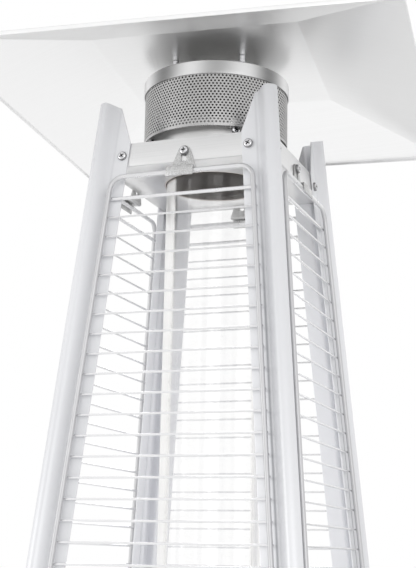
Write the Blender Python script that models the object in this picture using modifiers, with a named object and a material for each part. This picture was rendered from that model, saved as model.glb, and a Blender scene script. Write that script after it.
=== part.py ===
# Pyramid patio heater: four leaning corner posts round a tall glass flame tube,
# a cabinet for the gas cylinder below and a square reflector above.
# Metres, +Z up, origin on the floor under the middle, front side facing -Y.

import math

import bmesh
import bpy
from mathutils import Matrix, Vector

MM = 0.001
QUARTER_TURN = math.radians(90)
SIDES = ("front", "right", "back", "left")
CORNERS = ("front_right", "back_right", "back_left", "front_left")

# Flame tube and what fits round it at the head
TUBE_RADIUS = 50 * MM
COLLAR_FIT = 1 * MM
TRAY_HOLE_FIT = 1.5 * MM
SCREEN_BASE_FLANGE = 15.5 * MM
SCREEN_STEP = 7 * MM
STUD_INSET = 25 * MM
HEAD_MARGIN = 25 * MM
COLLAR_RADIUS = TUBE_RADIUS + COLLAR_FIT
TRAY_HOLE_RADIUS = COLLAR_RADIUS + TRAY_HOLE_FIT
SCREEN_BASE_RADIUS = TRAY_HOLE_RADIUS + SCREEN_BASE_FLANGE
SCREEN_RADIUS = SCREEN_BASE_RADIUS + SCREEN_STEP
STUD_CIRCLE = SCREEN_RADIUS - STUD_INSET

# Stance of the pyramid
FLOOR_HALF_WIDTH = 273 * MM
TOP_HALF_WIDTH = SCREEN_BASE_RADIUS + HEAD_MARGIN
POST_TOP = 2130 * MM
TAPER = (FLOOR_HALF_WIDTH - TOP_HALF_WIDTH) / POST_TOP
LEAN = math.atan(TAPER)

# Clearances and sheet
GAP = 0.3 * MM
SLIDE_FIT = 0.5 * MM
OVERRUN = 5 * MM
SHEET = 1.2 * MM
ROUND_STEPS = 40
SMALL_STEPS = 16
FINE_STEPS = 12
MIDDLE_STEPS = 24
MERGE_DISTANCE = 0.01 * MM
SMOOTH_ANGLE = math.radians(35)

# Corner posts: flat flanges set back from a bulging round corner
POST_FOOT_GAP = 0.8 * MM
FLANGE_REACH = 38.7 * MM
FLANGE_SETBACK = 9.4 * MM
BULGE_START = 23 * MM
BULGE_RADIUS = 9 * MM
CORNER_DROP = 2 * MM
SHOULDER_DROP = 7 * MM
BULGE_STEPS = 6
CORNER_STEPS = 5

# Base with wheels
BASE_TOP = 58 * MM
BASE_SKIRT = 40 * MM
BASE_MARGIN = 5 * MM
BASE_SHEET = 1.5 * MM
FOOT_RADIUS = 18 * MM
FOOT_INSET = 40 * MM
WHEEL_RADIUS = 25 * MM
WHEEL_WIDTH = 20 * MM
WHEEL_HUB_RADIUS = 10 * MM
WHEEL_HUB_WIDTH = 24 * MM
WHEEL_WEB = 8 * MM
WHEEL_RIM = 7 * MM
WHEEL_INSET = 103 * MM
WHEEL_CLEARANCE = 5 * MM
AXLE_RADIUS = 4 * MM
AXLE_HEAD_RADIUS = 7 * MM
AXLE_HEAD = 4 * MM
CHEEK_SHEET = 3 * MM
CHEEK_RADIUS = 11 * MM
CYLINDER_RING_RADIUS = 108 * MM
CYLINDER_RING_HEIGHT = 14 * MM

# Cabinet
DECK_TOP = 802 * MM
DECK_SHEET = 2 * MM
DECK_HOLE_RADIUS = 32 * MM
LEDGE_SETBACK = 0.5 * MM
PANEL_OVERLAP = 15 * MM
PANEL_FOOT_GAP = 2 * MM
KNOB_BELOW_DECK = 80 * MM
CONTROL_PANEL_DROP = 77 * MM
DOOR_FOOT_GAP = 8 * MM
DOOR_HEAD_GAP = 5 * MM
DOOR_SHEET = 1.5 * MM
DOOR_STANDOFF = 1 * MM
DOOR_OVERLAP = 9.5 * MM
HINGE_PIN_RADIUS = 1.8 * MM
HINGE_EYE_RADIUS = 3.6 * MM
HINGE_EYE_LENGTH = 26 * MM
HINGE_LEAF_DEPTH = 5.5 * MM
HINGE_NOTCH_DEPTH = 22 * MM
HINGE_INSET = 60 * MM
HANDLE_LENGTH = 120 * MM
HANDLE_RADIUS = 5 * MM
HANDLE_STANDOFF = 28 * MM
HANDLE_INSET = 34 * MM
HANDLE_ABOVE_DOOR_FOOT = 354 * MM
CATCH_LENGTH = 46 * MM
CATCH_DEPTH = 14 * MM
CATCH_WIDTH = 10 * MM

# Controls on the front panel
STEM_RADIUS = 4 * MM
STEM_LENGTH = 21 * MM
KNOB_RADIUS = 24 * MM
KNOB_DEPTH = 20 * MM
KNOB_GRIP_RADIUS = 15 * MM
KNOB_TRAVEL = 4 * MM
BUTTON_OFFSET = 80 * MM
BUTTON_RADIUS = 8 * MM
BUTTON_TRAVEL = 6 * MM
BUTTON_PROUD = 9 * MM
IGNITER_COLLAR_RADIUS = 14 * MM
IGNITER_BODY_RADIUS = 10.5 * MM
IGNITER_DEPTH = 42 * MM
VALVE_WIDTH = 60 * MM
VALVE_TALL = 44 * MM
VALVE_DEPTH = 36 * MM
VALVE_BOSS_RADIUS = 12 * MM
INLET_RADIUS = 9 * MM
INLET_LENGTH = 26 * MM
VALVE_OUTLET_SPREAD = 18 * MM
OUTLET_COLLAR_SHARE = 1.6

# Burner and its fittings
CUP_CLEARANCE = 7 * MM
CUP_RADIUS = TUBE_RADIUS - CUP_CLEARANCE
CUP_HEIGHT = 62 * MM
CUP_SHEET = 1.5 * MM
NOZZLE_RADIUS = 9 * MM
NOZZLE_FOOT_ABOVE_KNOB = 16 * MM
NOZZLE_HEAD_ABOVE_DECK = 22 * MM
FITTING_CIRCLE = 26 * MM
FITTING_COLLAR_RADIUS = 5.5 * MM
FITTING_COLLAR = 3 * MM
PILOT_RADIUS = 3 * MM
PROBE_RADIUS = 2.4 * MM
GAS_PIPE_RADIUS = 5 * MM
GAS_PIPE_REACH = 60 * MM
PILOT_PIPE_RADIUS = 2.4 * MM
LEAD_RADIUS = 1.2 * MM
LEAD_REACH = 36 * MM
LEAD_BEND = 9 * MM
LEAD_SPREAD_SHARE = 0.2
PILOT_RISE = 34 * MM
PROBE_RISE = 48 * MM
ELECTRODE_RISE = 42 * MM

# Glass flame tube
TUBE_WALL = 2.6 * MM
TUBE_HEAD_ABOVE_TRAY_FOOT = 4.3 * MM
SEAL_FOOT = 4 * MM
SEAL_HEIGHT = 16 * MM
SEAL_WALL = 4 * MM

# Guards: bars round the edge and thin crossbars
FIRST_CROSSBAR_BELOW_TRAY = 34 * MM
CROSSBAR_PITCH = 19.5 * MM
CROSSBAR_RADIUS = 1.1 * MM
FIRST_CROSSBAR_RADIUS = 1.8 * MM
GUARD_FACET_TURN = math.radians(30)
GUARD_BAR_RADIUS = 2.4 * MM
GUARD_SETBACK = 2.9 * MM
GUARD_INSET = 26.9 * MM
GUARD_HEAD = 21.3 * MM
GUARD_CORNER_RADIUS = 14 * MM
GUARD_PIN_RADIUS = 1.8 * MM
GUARD_PIN_LENGTH = 9 * MM
GUARD_PIN_SHARE = 0.6
GUARD_HOLE_SLACK = 0.6 * MM

# Top tray, clips and their screws
TRAY_FOOT_BELOW_POST_TOP = 71 * MM
TRAY_HEIGHT = 25 * MM
CLIP_HEAD_WIDTH = 13 * MM
CLIP_FOOT_WIDTH = 28 * MM
CLIP_HEAD_ABOVE_TRAY = 16.5 * MM
CLIP_PLATE_BELOW_TRAY = 9 * MM
CLIP_LIP = 10 * MM
CLIP_SCREW_ABOVE_TRAY = 11 * MM
CLIP_TRAVEL = 9.5 * MM
CLIP_HEAD_TANGENT = 15
CLIP_SLOT_SLACK = 0.4 * MM
SCREW_SHANK_RADIUS = 2.4 * MM
SCREW_HEAD_RADIUS = 4.7 * MM
SCREW_HEAD_HEIGHT = 2.8 * MM
SCREW_LENGTH = 9 * MM

# Flame screen above the tray
SCREEN_BASE_HEIGHT = 51.5 * MM
SCREEN_SHEET = 0.8 * MM
SCREEN_ABOVE_TRAY_FOOT = 41 * MM
SCREEN_HEIGHT = 68 * MM
LID_BAND = 15 * MM
LID_SHEET = 1 * MM
TAB_WIDTH = 9 * MM
TAB_HEIGHT = 8 * MM
TAB_ANGLES = (-55, 35, 125, 215)

# Reflector on four shoulder studs
REFLECTOR_TURN = math.radians(6)
REFLECTOR_PLATE_HALF = 105.5 * MM
REFLECTOR_HALF = 218 * MM
REFLECTOR_RISE = 17.7 * MM
REFLECTOR_FALL = 36.5 * MM
REFLECTOR_LIP = 3.5 * MM
REFLECTOR_SHEET = 1 * MM
STUD_SHOULDER_RADIUS = 3.2 * MM
STUD_THREAD_RADIUS = 2.4 * MM
STUD_RISE = 16 * MM
NUT_RADIUS = 6 * MM
NUT_NECK_RADIUS = 4.5 * MM
NUT_HEIGHT = 6 * MM
NUT_WING_REACH = 13 * MM
NUT_WING_HEIGHT = 12 * MM
NUT_WING_SHEET = 2 * MM

# Sizes that follow from those above
POST_FOOT = BASE_TOP + POST_FOOT_GAP
BASE_HALF = FLOOR_HALF_WIDTH + BASE_MARGIN
WHEEL_OFFSET = BASE_HALF - WHEEL_INSET
WHEEL_BACK = BASE_HALF - BASE_SHEET - WHEEL_CLEARANCE - WHEEL_RADIUS
TRAY_FOOT = POST_TOP - TRAY_FOOT_BELOW_POST_TOP
FIRST_CROSSBAR = TRAY_FOOT - FIRST_CROSSBAR_BELOW_TRAY
TUBE_HEAD = TRAY_FOOT + TUBE_HEAD_ABOVE_TRAY_FOOT
SCREEN_FOOT = TRAY_FOOT + SCREEN_ABOVE_TRAY_FOOT
KNOB_HEIGHT = DECK_TOP - KNOB_BELOW_DECK
CONTROL_PANEL_FOOT = KNOB_HEIGHT - CONTROL_PANEL_DROP
DOOR_FOOT = BASE_TOP + DOOR_FOOT_GAP
DOOR_HEAD = CONTROL_PANEL_FOOT - DOOR_HEAD_GAP
HANDLE_HEIGHT = DOOR_FOOT + HANDLE_ABOVE_DOOR_FOOT
NOZZLE_FOOT = KNOB_HEIGHT + NOZZLE_FOOT_ABOVE_KNOB
NOZZLE_HEAD = DECK_TOP + NOZZLE_HEAD_ABOVE_DECK
FLANGE_INNER = FLANGE_SETBACK + SHEET
PANEL_FACE = FLANGE_INNER + GAP
GUARD_PLANE = -GUARD_SETBACK
DECK_FOOT = DECK_TOP - DECK_SHEET
PANEL_HEAD = DECK_FOOT - GAP
CUP_FLOOR = DECK_TOP + GAP + CUP_SHEET
TUBE_FOOT = DECK_TOP + SEAL_FOOT + GAP
LID_TOP = SCREEN_FOOT + SCREEN_HEIGHT + GAP + LID_SHEET
REFLECTOR_PLATE_HEIGHT = LID_TOP + REFLECTOR_RISE
DOOR_PLANE = -(FLANGE_SETBACK - DOOR_STANDOFF)
HINGE_AXIS_PLANE = DOOR_PLANE + DOOR_SHEET + HINGE_EYE_RADIUS / 2
HINGE_INSIDE = FLANGE_REACH - DOOR_OVERLAP


def clear_scene():
    for item in list(bpy.data.objects):
        bpy.data.objects.remove(item, do_unlink=True)


def new_collection(name):
    collection = bpy.data.collections.new(name)
    bpy.context.scene.collection.children.link(collection)
    return collection


def new_material(name, colour, roughness, metallic=0.0, alpha=1.0):
    material = bpy.data.materials.new(name)
    material.use_nodes = True
    shader = material.node_tree.nodes["Principled BSDF"]
    shader.inputs["Base Color"].default_value = (*colour, 1.0)
    shader.inputs["Roughness"].default_value = roughness
    shader.inputs["Metallic"].default_value = metallic
    shader.inputs["Alpha"].default_value = alpha
    return material


clear_scene()
HEATER = new_collection("pyramid_patio_heater")
CUTTERS = new_collection("cutters")
CUTTERS.hide_render = True

COATED = new_material("coated_steel", (0.74, 0.75, 0.78), 0.35, 0.6)
BRUSHED = new_material("brushed_steel", (0.62, 0.62, 0.62), 0.3, 1.0)
MIRROR = new_material("bright_aluminium", (0.85, 0.85, 0.86), 0.15, 1.0)
CHROME = new_material("bright_screws", (0.75, 0.75, 0.76), 0.12, 1.0)
WIRE = new_material("bright_wire", (0.82, 0.83, 0.85), 0.3, 0.8)
HEATED = new_material("heat_tinted_steel", (0.35, 0.31, 0.27), 0.4, 1.0)
GLASS = new_material("flame_glass", (0.95, 0.97, 0.97), 0.03, 0.0, 0.25)
BRASS = new_material("brass", (0.72, 0.55, 0.28), 0.3, 1.0)
BLACK = new_material("black_plastic", (0.03, 0.03, 0.03), 0.5)
RUBBER = new_material("rubber", (0.04, 0.04, 0.04), 0.8)
CERAMIC = new_material("white_ceramic", (0.85, 0.84, 0.8), 0.4)


# Placing things on the leaning sides

def half_width(height):
    """Outer half width of the pyramid at a height."""
    return FLOOR_HALF_WIDTH - TAPER * height


def flange_edge(height):
    """Half width of the open space between two posts."""
    return half_width(height) - FLANGE_REACH


def upslope(height, outward=0.0):
    """Distance up a leaning side of a point at a height, outward of the side's plane."""
    return (height - outward * math.sin(LEAN)) / math.cos(LEAN)


def side_frame(side, across=0.0, up=0.0, outward=0.0, spin=0.0):
    """Frame on a leaning side: X to the right, Y up the slope, Z straight out."""
    turn = Matrix.Rotation(side * QUARTER_TURN, 4, "Z")
    foot = Matrix.Translation((0, -FLOOR_HALF_WIDTH, 0))
    tilt = Matrix.Rotation(QUARTER_TURN - LEAN, 4, "X")
    place = Matrix.Translation((across, up, outward))
    return turn @ foot @ tilt @ place @ Matrix.Rotation(spin, 4, "Z")


def spun(angle, radius, height):
    """Frame turned about the middle of the heater, out at a radius."""
    return Matrix.Rotation(angle, 4, "Z") @ Matrix.Translation((radius, 0, height))


# Making solids

def add_object(name, mesh, material, frame=None, collection=None):
    item = bpy.data.objects.new(name, mesh)
    (collection or HEATER).objects.link(item)
    if not mesh.materials:
        mesh.materials.append(material)
    item.matrix_world = frame or Matrix.Identity(4)
    return item


def mesh_from(bm, name):
    bmesh.ops.recalc_face_normals(bm, faces=bm.faces)
    mesh = bpy.data.meshes.new(name)
    bm.to_mesh(mesh)
    bm.free()
    return mesh


def as_cutter(item):
    for collection in list(item.users_collection):
        collection.objects.unlink(item)
    CUTTERS.objects.link(item)
    item.hide_render = True
    item.display_type = "WIRE"
    return item


def boolean(item, tool, operation="DIFFERENCE"):
    modifier = item.modifiers.new(operation.lower(), "BOOLEAN")
    modifier.operation = operation
    modifier.object = as_cutter(tool)
    return item


def box(name, size, material, frame=None, centre=(0, 0, 0)):
    bm = bmesh.new()
    bmesh.ops.create_cube(bm, size=1)
    bmesh.ops.scale(bm, vec=Vector(size), verts=bm.verts)
    bmesh.ops.translate(bm, vec=Vector(centre), verts=bm.verts)
    return add_object(name, mesh_from(bm, name), material, frame)


def rod(name, radius, foot, head, material, frame=None, steps=SMALL_STEPS):
    """Round bar along Z from foot to head."""
    bm = bmesh.new()
    bmesh.ops.create_cone(bm, cap_ends=True, segments=steps, radius1=radius, radius2=radius, depth=head - foot)
    bmesh.ops.translate(bm, vec=(0, 0, (foot + head) / 2), verts=bm.verts)
    item = add_object(name, mesh_from(bm, name), material, frame)
    smooth(item)
    return item


def smooth(item):
    item.data.shade_smooth()
    item.data.set_sharp_from_angle(angle=SMOOTH_ANGLE)


def turned(name, profile, material, frame=None, steps=ROUND_STEPS, closed=False):
    """Solid turned about Z from (radius, height) points that run down the outer side."""
    mesh = bpy.data.meshes.new(name)
    points = [(radius, 0, height) for radius, height in profile]
    edges = [(i, i + 1) for i in range(len(points) - 1)]
    if closed:
        edges.append((len(points) - 1, 0))
    mesh.from_pydata(points, edges, [])
    item = add_object(name, mesh, material, frame)
    screw = item.modifiers.new("turn", "SCREW")
    screw.axis = "Z"
    screw.steps = steps
    screw.render_steps = steps
    screw.use_merge_vertices = True
    screw.merge_threshold = MERGE_DISTANCE
    screw.use_smooth_shade = True
    return item


def ring_profile(outer, inner, head, foot):
    return [(outer, head), (outer, foot), (inner, foot), (inner, head)]


def arc(centre, radius, start, end, steps):
    """Points along an arc in a plane, angles in degrees."""
    points = []
    for i in range(steps + 1):
        angle = math.radians(start + (end - start) * i / steps)
        points.append((centre[0] + radius * math.cos(angle), centre[1] + radius * math.sin(angle)))
    return points


def circle(centre, radius, steps=SMALL_STEPS):
    return arc(centre, radius, 0, 360, steps)[:-1]


def plate(name, outlines, thickness, material, frame=None):
    """Flat sheet in its XY plane from an outline and its holes, half its thickness each way."""
    curve = bpy.data.curves.new(name, "CURVE")
    curve.dimensions = "2D"
    curve.fill_mode = "BOTH"
    curve.extrude = thickness / 2
    for outline in outlines:
        spline = curve.splines.new("POLY")
        spline.points.add(len(outline) - 1)
        for point, place in zip(spline.points, outline):
            point.co = (place[0], place[1], 0, 1)
        spline.use_cyclic_u = True
    return add_object(name, curve, material, frame)


def wire(name, paths, radius, material, frame=None, closed=False, resolution=1, tilt=0.0):
    """Round bar along one or more point lists."""
    curve = bpy.data.curves.new(name, "CURVE")
    curve.dimensions = "3D"
    curve.bevel_depth = radius
    curve.bevel_resolution = resolution
    curve.use_fill_caps = not closed
    for path in paths:
        spline = curve.splines.new("POLY")
        spline.points.add(len(path) - 1)
        for point, place in zip(spline.points, path):
            point.co = (*place, 1)
            point.tilt = tilt
        spline.use_cyclic_u = closed
    return add_object(name, curve, material, frame)


def made_mesh(item):
    """Turn a curve object into a closed mesh object of the same name and place."""
    bpy.context.view_layer.update()
    frame = item.matrix_world.copy()
    evaluated = item.evaluated_get(bpy.context.evaluated_depsgraph_get())
    mesh = bpy.data.meshes.new_from_object(evaluated)
    bm = bmesh.new()
    bm.from_mesh(mesh)
    bmesh.ops.remove_doubles(bm, verts=bm.verts, dist=MERGE_DISTANCE)
    bmesh.ops.recalc_face_normals(bm, faces=bm.faces)
    bm.to_mesh(mesh)
    bm.free()
    name = item.name
    material = item.data.materials[0]
    bpy.data.objects.remove(item, do_unlink=True)
    mesh.name = name
    return add_object(name, mesh, material, frame)


def rebased(item, frame):
    """Give an object another origin and keep its solid where it is."""
    item.data.transform(frame.inverted() @ item.matrix_world)
    item.matrix_world = frame
    return item


def rounded_bend(points, radius, steps=4):
    """Path through points in space with its inner corners rounded."""
    points = [Vector(point) for point in points]
    path = [points[0]]
    for before, corner, after in zip(points, points[1:], points[2:]):
        back = (before - corner).normalized()
        ahead = (after - corner).normalized()
        half = back.angle(ahead) / 2
        reach = radius / math.tan(half)
        middle = corner + (back + ahead).normalized() * (radius / math.sin(half))
        start = (corner + back * reach - middle).normalized()
        end = (corner + ahead * reach - middle).normalized()
        for i in range(steps + 1):
            path.append(middle + start.slerp(end, i / steps) * radius)
    path.append(points[-1])
    return path


# Corner posts

def smoothstep(share):
    return share * share * (3 - 2 * share)


def post_section():
    """Plan section of a post as (across, back, drop from the post top), from the outer corner inwards."""
    chamfer_drop = POST_TOP - (TRAY_FOOT + TRAY_HEIGHT)
    half = [(-FLANGE_REACH, -FLANGE_SETBACK, chamfer_drop), (-BULGE_START, -FLANGE_SETBACK, SHOULDER_DROP)]
    for i in range(1, BULGE_STEPS + 1):
        share = i / BULGE_STEPS
        across = -BULGE_START + (BULGE_START - BULGE_RADIUS) * share
        back = -FLANGE_SETBACK * (1 - smoothstep(share))
        half.append((across, back, CORNER_DROP + (SHOULDER_DROP - CORNER_DROP) * (1 - share)))
    corner = arc((-BULGE_RADIUS, -BULGE_RADIUS), BULGE_RADIUS, 90, 0, CORNER_STEPS)
    rounding = [(x, y, CORNER_DROP) for x, y in corner[1:-1]]
    other_half = [(y, x, drop) for x, y, drop in reversed(half)]
    return half + rounding + other_half


def make_posts():
    """Folded sheet posts; each leans to the middle both ways and its flanges are cut back at the top."""
    bm = bmesh.new()
    feet = []
    heads = []
    for x, y, drop in post_section():
        at_foot = half_width(POST_FOOT)
        at_head = half_width(POST_TOP - drop)
        feet.append(bm.verts.new((at_foot + x, at_foot + y, POST_FOOT)))
        heads.append(bm.verts.new((at_head + x, at_head + y, POST_TOP - drop)))
    for i in range(len(feet) - 1):
        bm.faces.new((feet[i], heads[i], heads[i + 1], feet[i + 1]))
    mesh = bpy.data.meshes.new("post")
    bm.to_mesh(mesh)
    bm.free()
    for side, corner in enumerate(CORNERS):
        turn = Matrix.Rotation((side - 1) * QUARTER_TURN, 4, "Z")
        post = add_object("post_" + corner, mesh, COATED, turn)
        wall = post.modifiers.new("sheet", "SOLIDIFY")
        wall.thickness = SHEET
        wall.offset = -1
        smooth(post)


# Base, feet and wheels

def make_base():
    """Inverted tray that stands on two feet in front and two wheels at the back."""
    bm = bmesh.new()
    bmesh.ops.create_cube(bm, size=1)
    bmesh.ops.scale(bm, vec=(2 * BASE_HALF, 2 * BASE_HALF, BASE_SKIRT), verts=bm.verts)
    bmesh.ops.translate(bm, vec=(0, 0, BASE_TOP - BASE_SKIRT / 2), verts=bm.verts)
    under = [face for face in bm.faces if face.calc_center_median().z < BASE_TOP - BASE_SKIRT + GAP]
    bmesh.ops.delete(bm, geom=under, context="FACES_ONLY")
    mesh = bpy.data.meshes.new("base_plate")
    bm.to_mesh(mesh)
    bm.free()
    base = add_object("base_plate", mesh, COATED)
    wall = base.modifiers.new("sheet", "SOLIDIFY")
    wall.thickness = BASE_SHEET
    wall.offset = -1
    for sign in (-1, 1):
        for inner in (-1, 1):
            boolean(base, make_axle_cheek(sign, inner), "UNION")
    make_feet()
    make_wheels()
    ring = ring_profile(CYLINDER_RING_RADIUS + SHEET, CYLINDER_RING_RADIUS,
                        BASE_TOP + GAP + CYLINDER_RING_HEIGHT, BASE_TOP + GAP)
    turned("cylinder_ring", ring, BRUSHED, closed=True)


def make_axle_cheek(sign, inner):
    """One cheek beside a wheel: it hangs from the tray and has the hole for the axle."""
    across = sign * WHEEL_OFFSET + inner * (WHEEL_HUB_WIDTH / 2 + SLIDE_FIT + CHEEK_SHEET / 2)
    head = BASE_TOP - BASE_SHEET / 2 - WHEEL_RADIUS
    outline = [(CHEEK_RADIUS, head), (-CHEEK_RADIUS, head), *arc((0, 0), CHEEK_RADIUS, 180, 360, 8)]
    hole = circle((0, 0), AXLE_RADIUS + SLIDE_FIT)
    place = Matrix.Translation((across, WHEEL_BACK, WHEEL_RADIUS))
    stand = Matrix.Rotation(QUARTER_TURN, 4, "Z") @ Matrix.Rotation(QUARTER_TURN, 4, "X")
    return made_mesh(plate("axle_cheek", [outline, hole], CHEEK_SHEET, COATED, place @ stand))


def make_feet():
    """Two pads under the front corners."""
    top = BASE_TOP - BASE_SHEET - GAP
    profile = [(0, top), (FOOT_RADIUS / 2, top), (FOOT_RADIUS / 2, FOOT_RADIUS / 2), (FOOT_RADIUS, FOOT_RADIUS / 2),
               (FOOT_RADIUS, 0), (0, 0)]
    for sign, name in ((-1, "foot_left"), (1, "foot_right")):
        place = Matrix.Translation((sign * (BASE_HALF - FOOT_INSET), FOOT_INSET - BASE_HALF, 0))
        turned(name, profile, RUBBER, place, steps=SMALL_STEPS)


def make_wheels():
    for sign, name in ((-1, "left"), (1, "right")):
        place = Matrix.Translation((sign * WHEEL_OFFSET, WHEEL_BACK, WHEEL_RADIUS))
        frame = place @ Matrix.Rotation(QUARTER_TURN, 4, "Y")
        turned("wheel_" + name, wheel_profile(), RUBBER, frame, steps=MIDDLE_STEPS, closed=True)
        make_axle(name, frame)


def wheel_profile():
    """Tyre, web and hub, turned about the axle."""
    bore = AXLE_RADIUS + SLIDE_FIT
    tyre = WHEEL_WIDTH / 2
    crown = WHEEL_WIDTH / 4
    inside = WHEEL_RADIUS - WHEEL_RIM
    web = WHEEL_WEB / 2
    hub = WHEEL_HUB_WIDTH / 2
    shoulder = WHEEL_RADIUS - crown / 2
    return [(shoulder, tyre), (WHEEL_RADIUS, crown), (WHEEL_RADIUS, -crown), (shoulder, -tyre),
            (inside, -tyre), (inside, -web), (WHEEL_HUB_RADIUS, -web), (WHEEL_HUB_RADIUS, -hub), (bore, -hub),
            (bore, hub), (WHEEL_HUB_RADIUS, hub), (WHEEL_HUB_RADIUS, web), (inside, web), (inside, tyre)]


def make_axle(name, frame):
    """Bolt through both cheeks, headed at its ends."""
    outside = WHEEL_HUB_WIDTH / 2 + SLIDE_FIT + CHEEK_SHEET + GAP
    profile = [(0, outside + AXLE_HEAD), (AXLE_HEAD_RADIUS, outside + AXLE_HEAD), (AXLE_HEAD_RADIUS, outside),
               (AXLE_RADIUS, outside), (AXLE_RADIUS, -outside), (AXLE_HEAD_RADIUS, -outside),
               (AXLE_HEAD_RADIUS, -outside - AXLE_HEAD), (0, -outside - AXLE_HEAD)]
    turned("axle_" + name, profile, CHROME, frame, steps=SMALL_STEPS)


# Cabinet

def panel_outline(foot, head, outward, holes=()):
    """Sheet behind two flanges: its sides run parallel to the posts."""
    low = flange_edge(foot) + PANEL_OVERLAP
    high = flange_edge(head) + PANEL_OVERLAP
    bottom = upslope(foot, outward)
    top = upslope(head, outward)
    return [[(-low, bottom), (low, bottom), (high, top), (-high, top)], *holes]


def make_panels():
    outward = -(PANEL_FACE + SHEET / 2)
    foot = BASE_TOP + PANEL_FOOT_GAP
    for side in (1, 2, 3):
        name = SIDES[side] + "_panel"
        plate(name, panel_outline(foot, PANEL_HEAD, outward), SHEET, COATED, side_frame(side, outward=outward))
    knob_up = upslope(KNOB_HEIGHT)
    holes = [circle((0, knob_up), VALVE_BOSS_RADIUS + SLIDE_FIT),
             circle((BUTTON_OFFSET, knob_up), IGNITER_BODY_RADIUS + SLIDE_FIT)]
    outline = panel_outline(CONTROL_PANEL_FOOT, PANEL_HEAD, outward, holes)
    plate("control_panel", outline, SHEET, BRUSHED, side_frame(0, outward=outward))


def make_deck():
    """Plate over the cabinet; its ledges stand out between the posts and hold the guards' pins."""
    inner = half_width(DECK_TOP) - (PANEL_FACE + SLIDE_FIT) / math.cos(LEAN)
    side = flange_edge(DECK_TOP) - SLIDE_FIT
    outer = half_width(DECK_TOP) - LEDGE_SETBACK
    quarter = [(-inner, -inner), (-side, -inner), (-side, -outer), (side, -outer), (side, -inner)]
    outline = []
    for turn in range(4):
        spin = Matrix.Rotation(turn * QUARTER_TURN, 2)
        outline += [tuple(spin @ Vector(point)) for point in quarter]
    holes = [circle((0, 0), DECK_HOLE_RADIUS, ROUND_STEPS)]
    for turn in range(4):
        for sign in (-1, 1):
            across = sign * GUARD_PIN_SHARE * guard_half_width(guard_foot())
            point = side_frame(turn) @ Vector((across, upslope(DECK_TOP, GUARD_PLANE), GUARD_PLANE))
            holes.append(circle((point.x, point.y), GUARD_PIN_RADIUS + GUARD_HOLE_SLACK, FINE_STEPS))
    middle = Matrix.Translation((0, 0, DECK_TOP - DECK_SHEET / 2))
    plate("deck", [outline, *holes], DECK_SHEET, BRUSHED, middle)


def door_frame_angle():
    """Angle in the front plane between straight up and the door's hinge edge."""
    return -math.atan(TAPER * math.cos(LEAN))


def hinge_frame():
    """Frame on the hinge axis at the door's foot: Y along the axis, X across the door."""
    across = -(half_width(DOOR_FOOT) - HINGE_INSIDE)
    up = upslope(DOOR_FOOT, HINGE_AXIS_PLANE)
    return side_frame(0, across, up, HINGE_AXIS_PLANE, door_frame_angle())


def make_door():
    """Door in front of the flanges, hinged along its slanted left edge."""
    frame = hinge_frame()
    low = half_width(DOOR_FOOT) - HINGE_INSIDE
    high = half_width(DOOR_HEAD) - HINGE_INSIDE
    bottom = upslope(DOOR_FOOT, DOOR_PLANE)
    top = upslope(DOOR_HEAD, DOOR_PLANE)
    clear = HINGE_EYE_RADIUS + SLIDE_FIT
    outline = [(clear - low, bottom), (low, bottom), (high, top), (clear - high, top)]
    middle = side_frame(0, outward=DOOR_PLANE + DOOR_SHEET / 2)
    door = rebased(made_mesh(plate("door", [outline], DOOR_SHEET, COATED, middle)), frame)
    length = (top - bottom) / math.cos(door_frame_angle())
    for place in (HINGE_INSET, length - HINGE_INSET - HINGE_EYE_LENGTH):
        boolean(door, make_door_eye(frame, place), "UNION")
    for place in (HINGE_INSET, length - HINGE_INSET - HINGE_EYE_LENGTH):
        boolean(door, hinge_bore(frame, place))
    make_hinges(frame, length)
    make_handle()
    make_catch()


def along_axis(frame, place):
    """Frame whose Z runs up the hinge axis from a place along it."""
    return frame @ Matrix.Translation((0, place, 0)) @ Matrix.Rotation(-QUARTER_TURN, 4, "X")


def make_door_eye(frame, place):
    """Rolled eye on the door's edge with the tongue that joins it to the sheet."""
    eye = rod("door_eye", HINGE_EYE_RADIUS, 0, HINGE_EYE_LENGTH, COATED, along_axis(frame, place))
    depth = HINGE_AXIS_PLANE - DOOR_PLANE
    size = (3 * HINGE_EYE_RADIUS, HINGE_EYE_LENGTH, depth - DOOR_SHEET / 2)
    centre = (size[0] / 2, HINGE_EYE_LENGTH / 2, -size[2] / 2)
    tongue = box("door_tongue", size, COATED, frame @ Matrix.Translation((0, place, 0)), centre)
    return boolean(eye, tongue, "UNION")


def hinge_bore(frame, place):
    reach = HINGE_EYE_LENGTH + OVERRUN
    return rod("hinge_bore", HINGE_PIN_RADIUS + GAP, -OVERRUN, reach, COATED, along_axis(frame, place))


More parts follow.
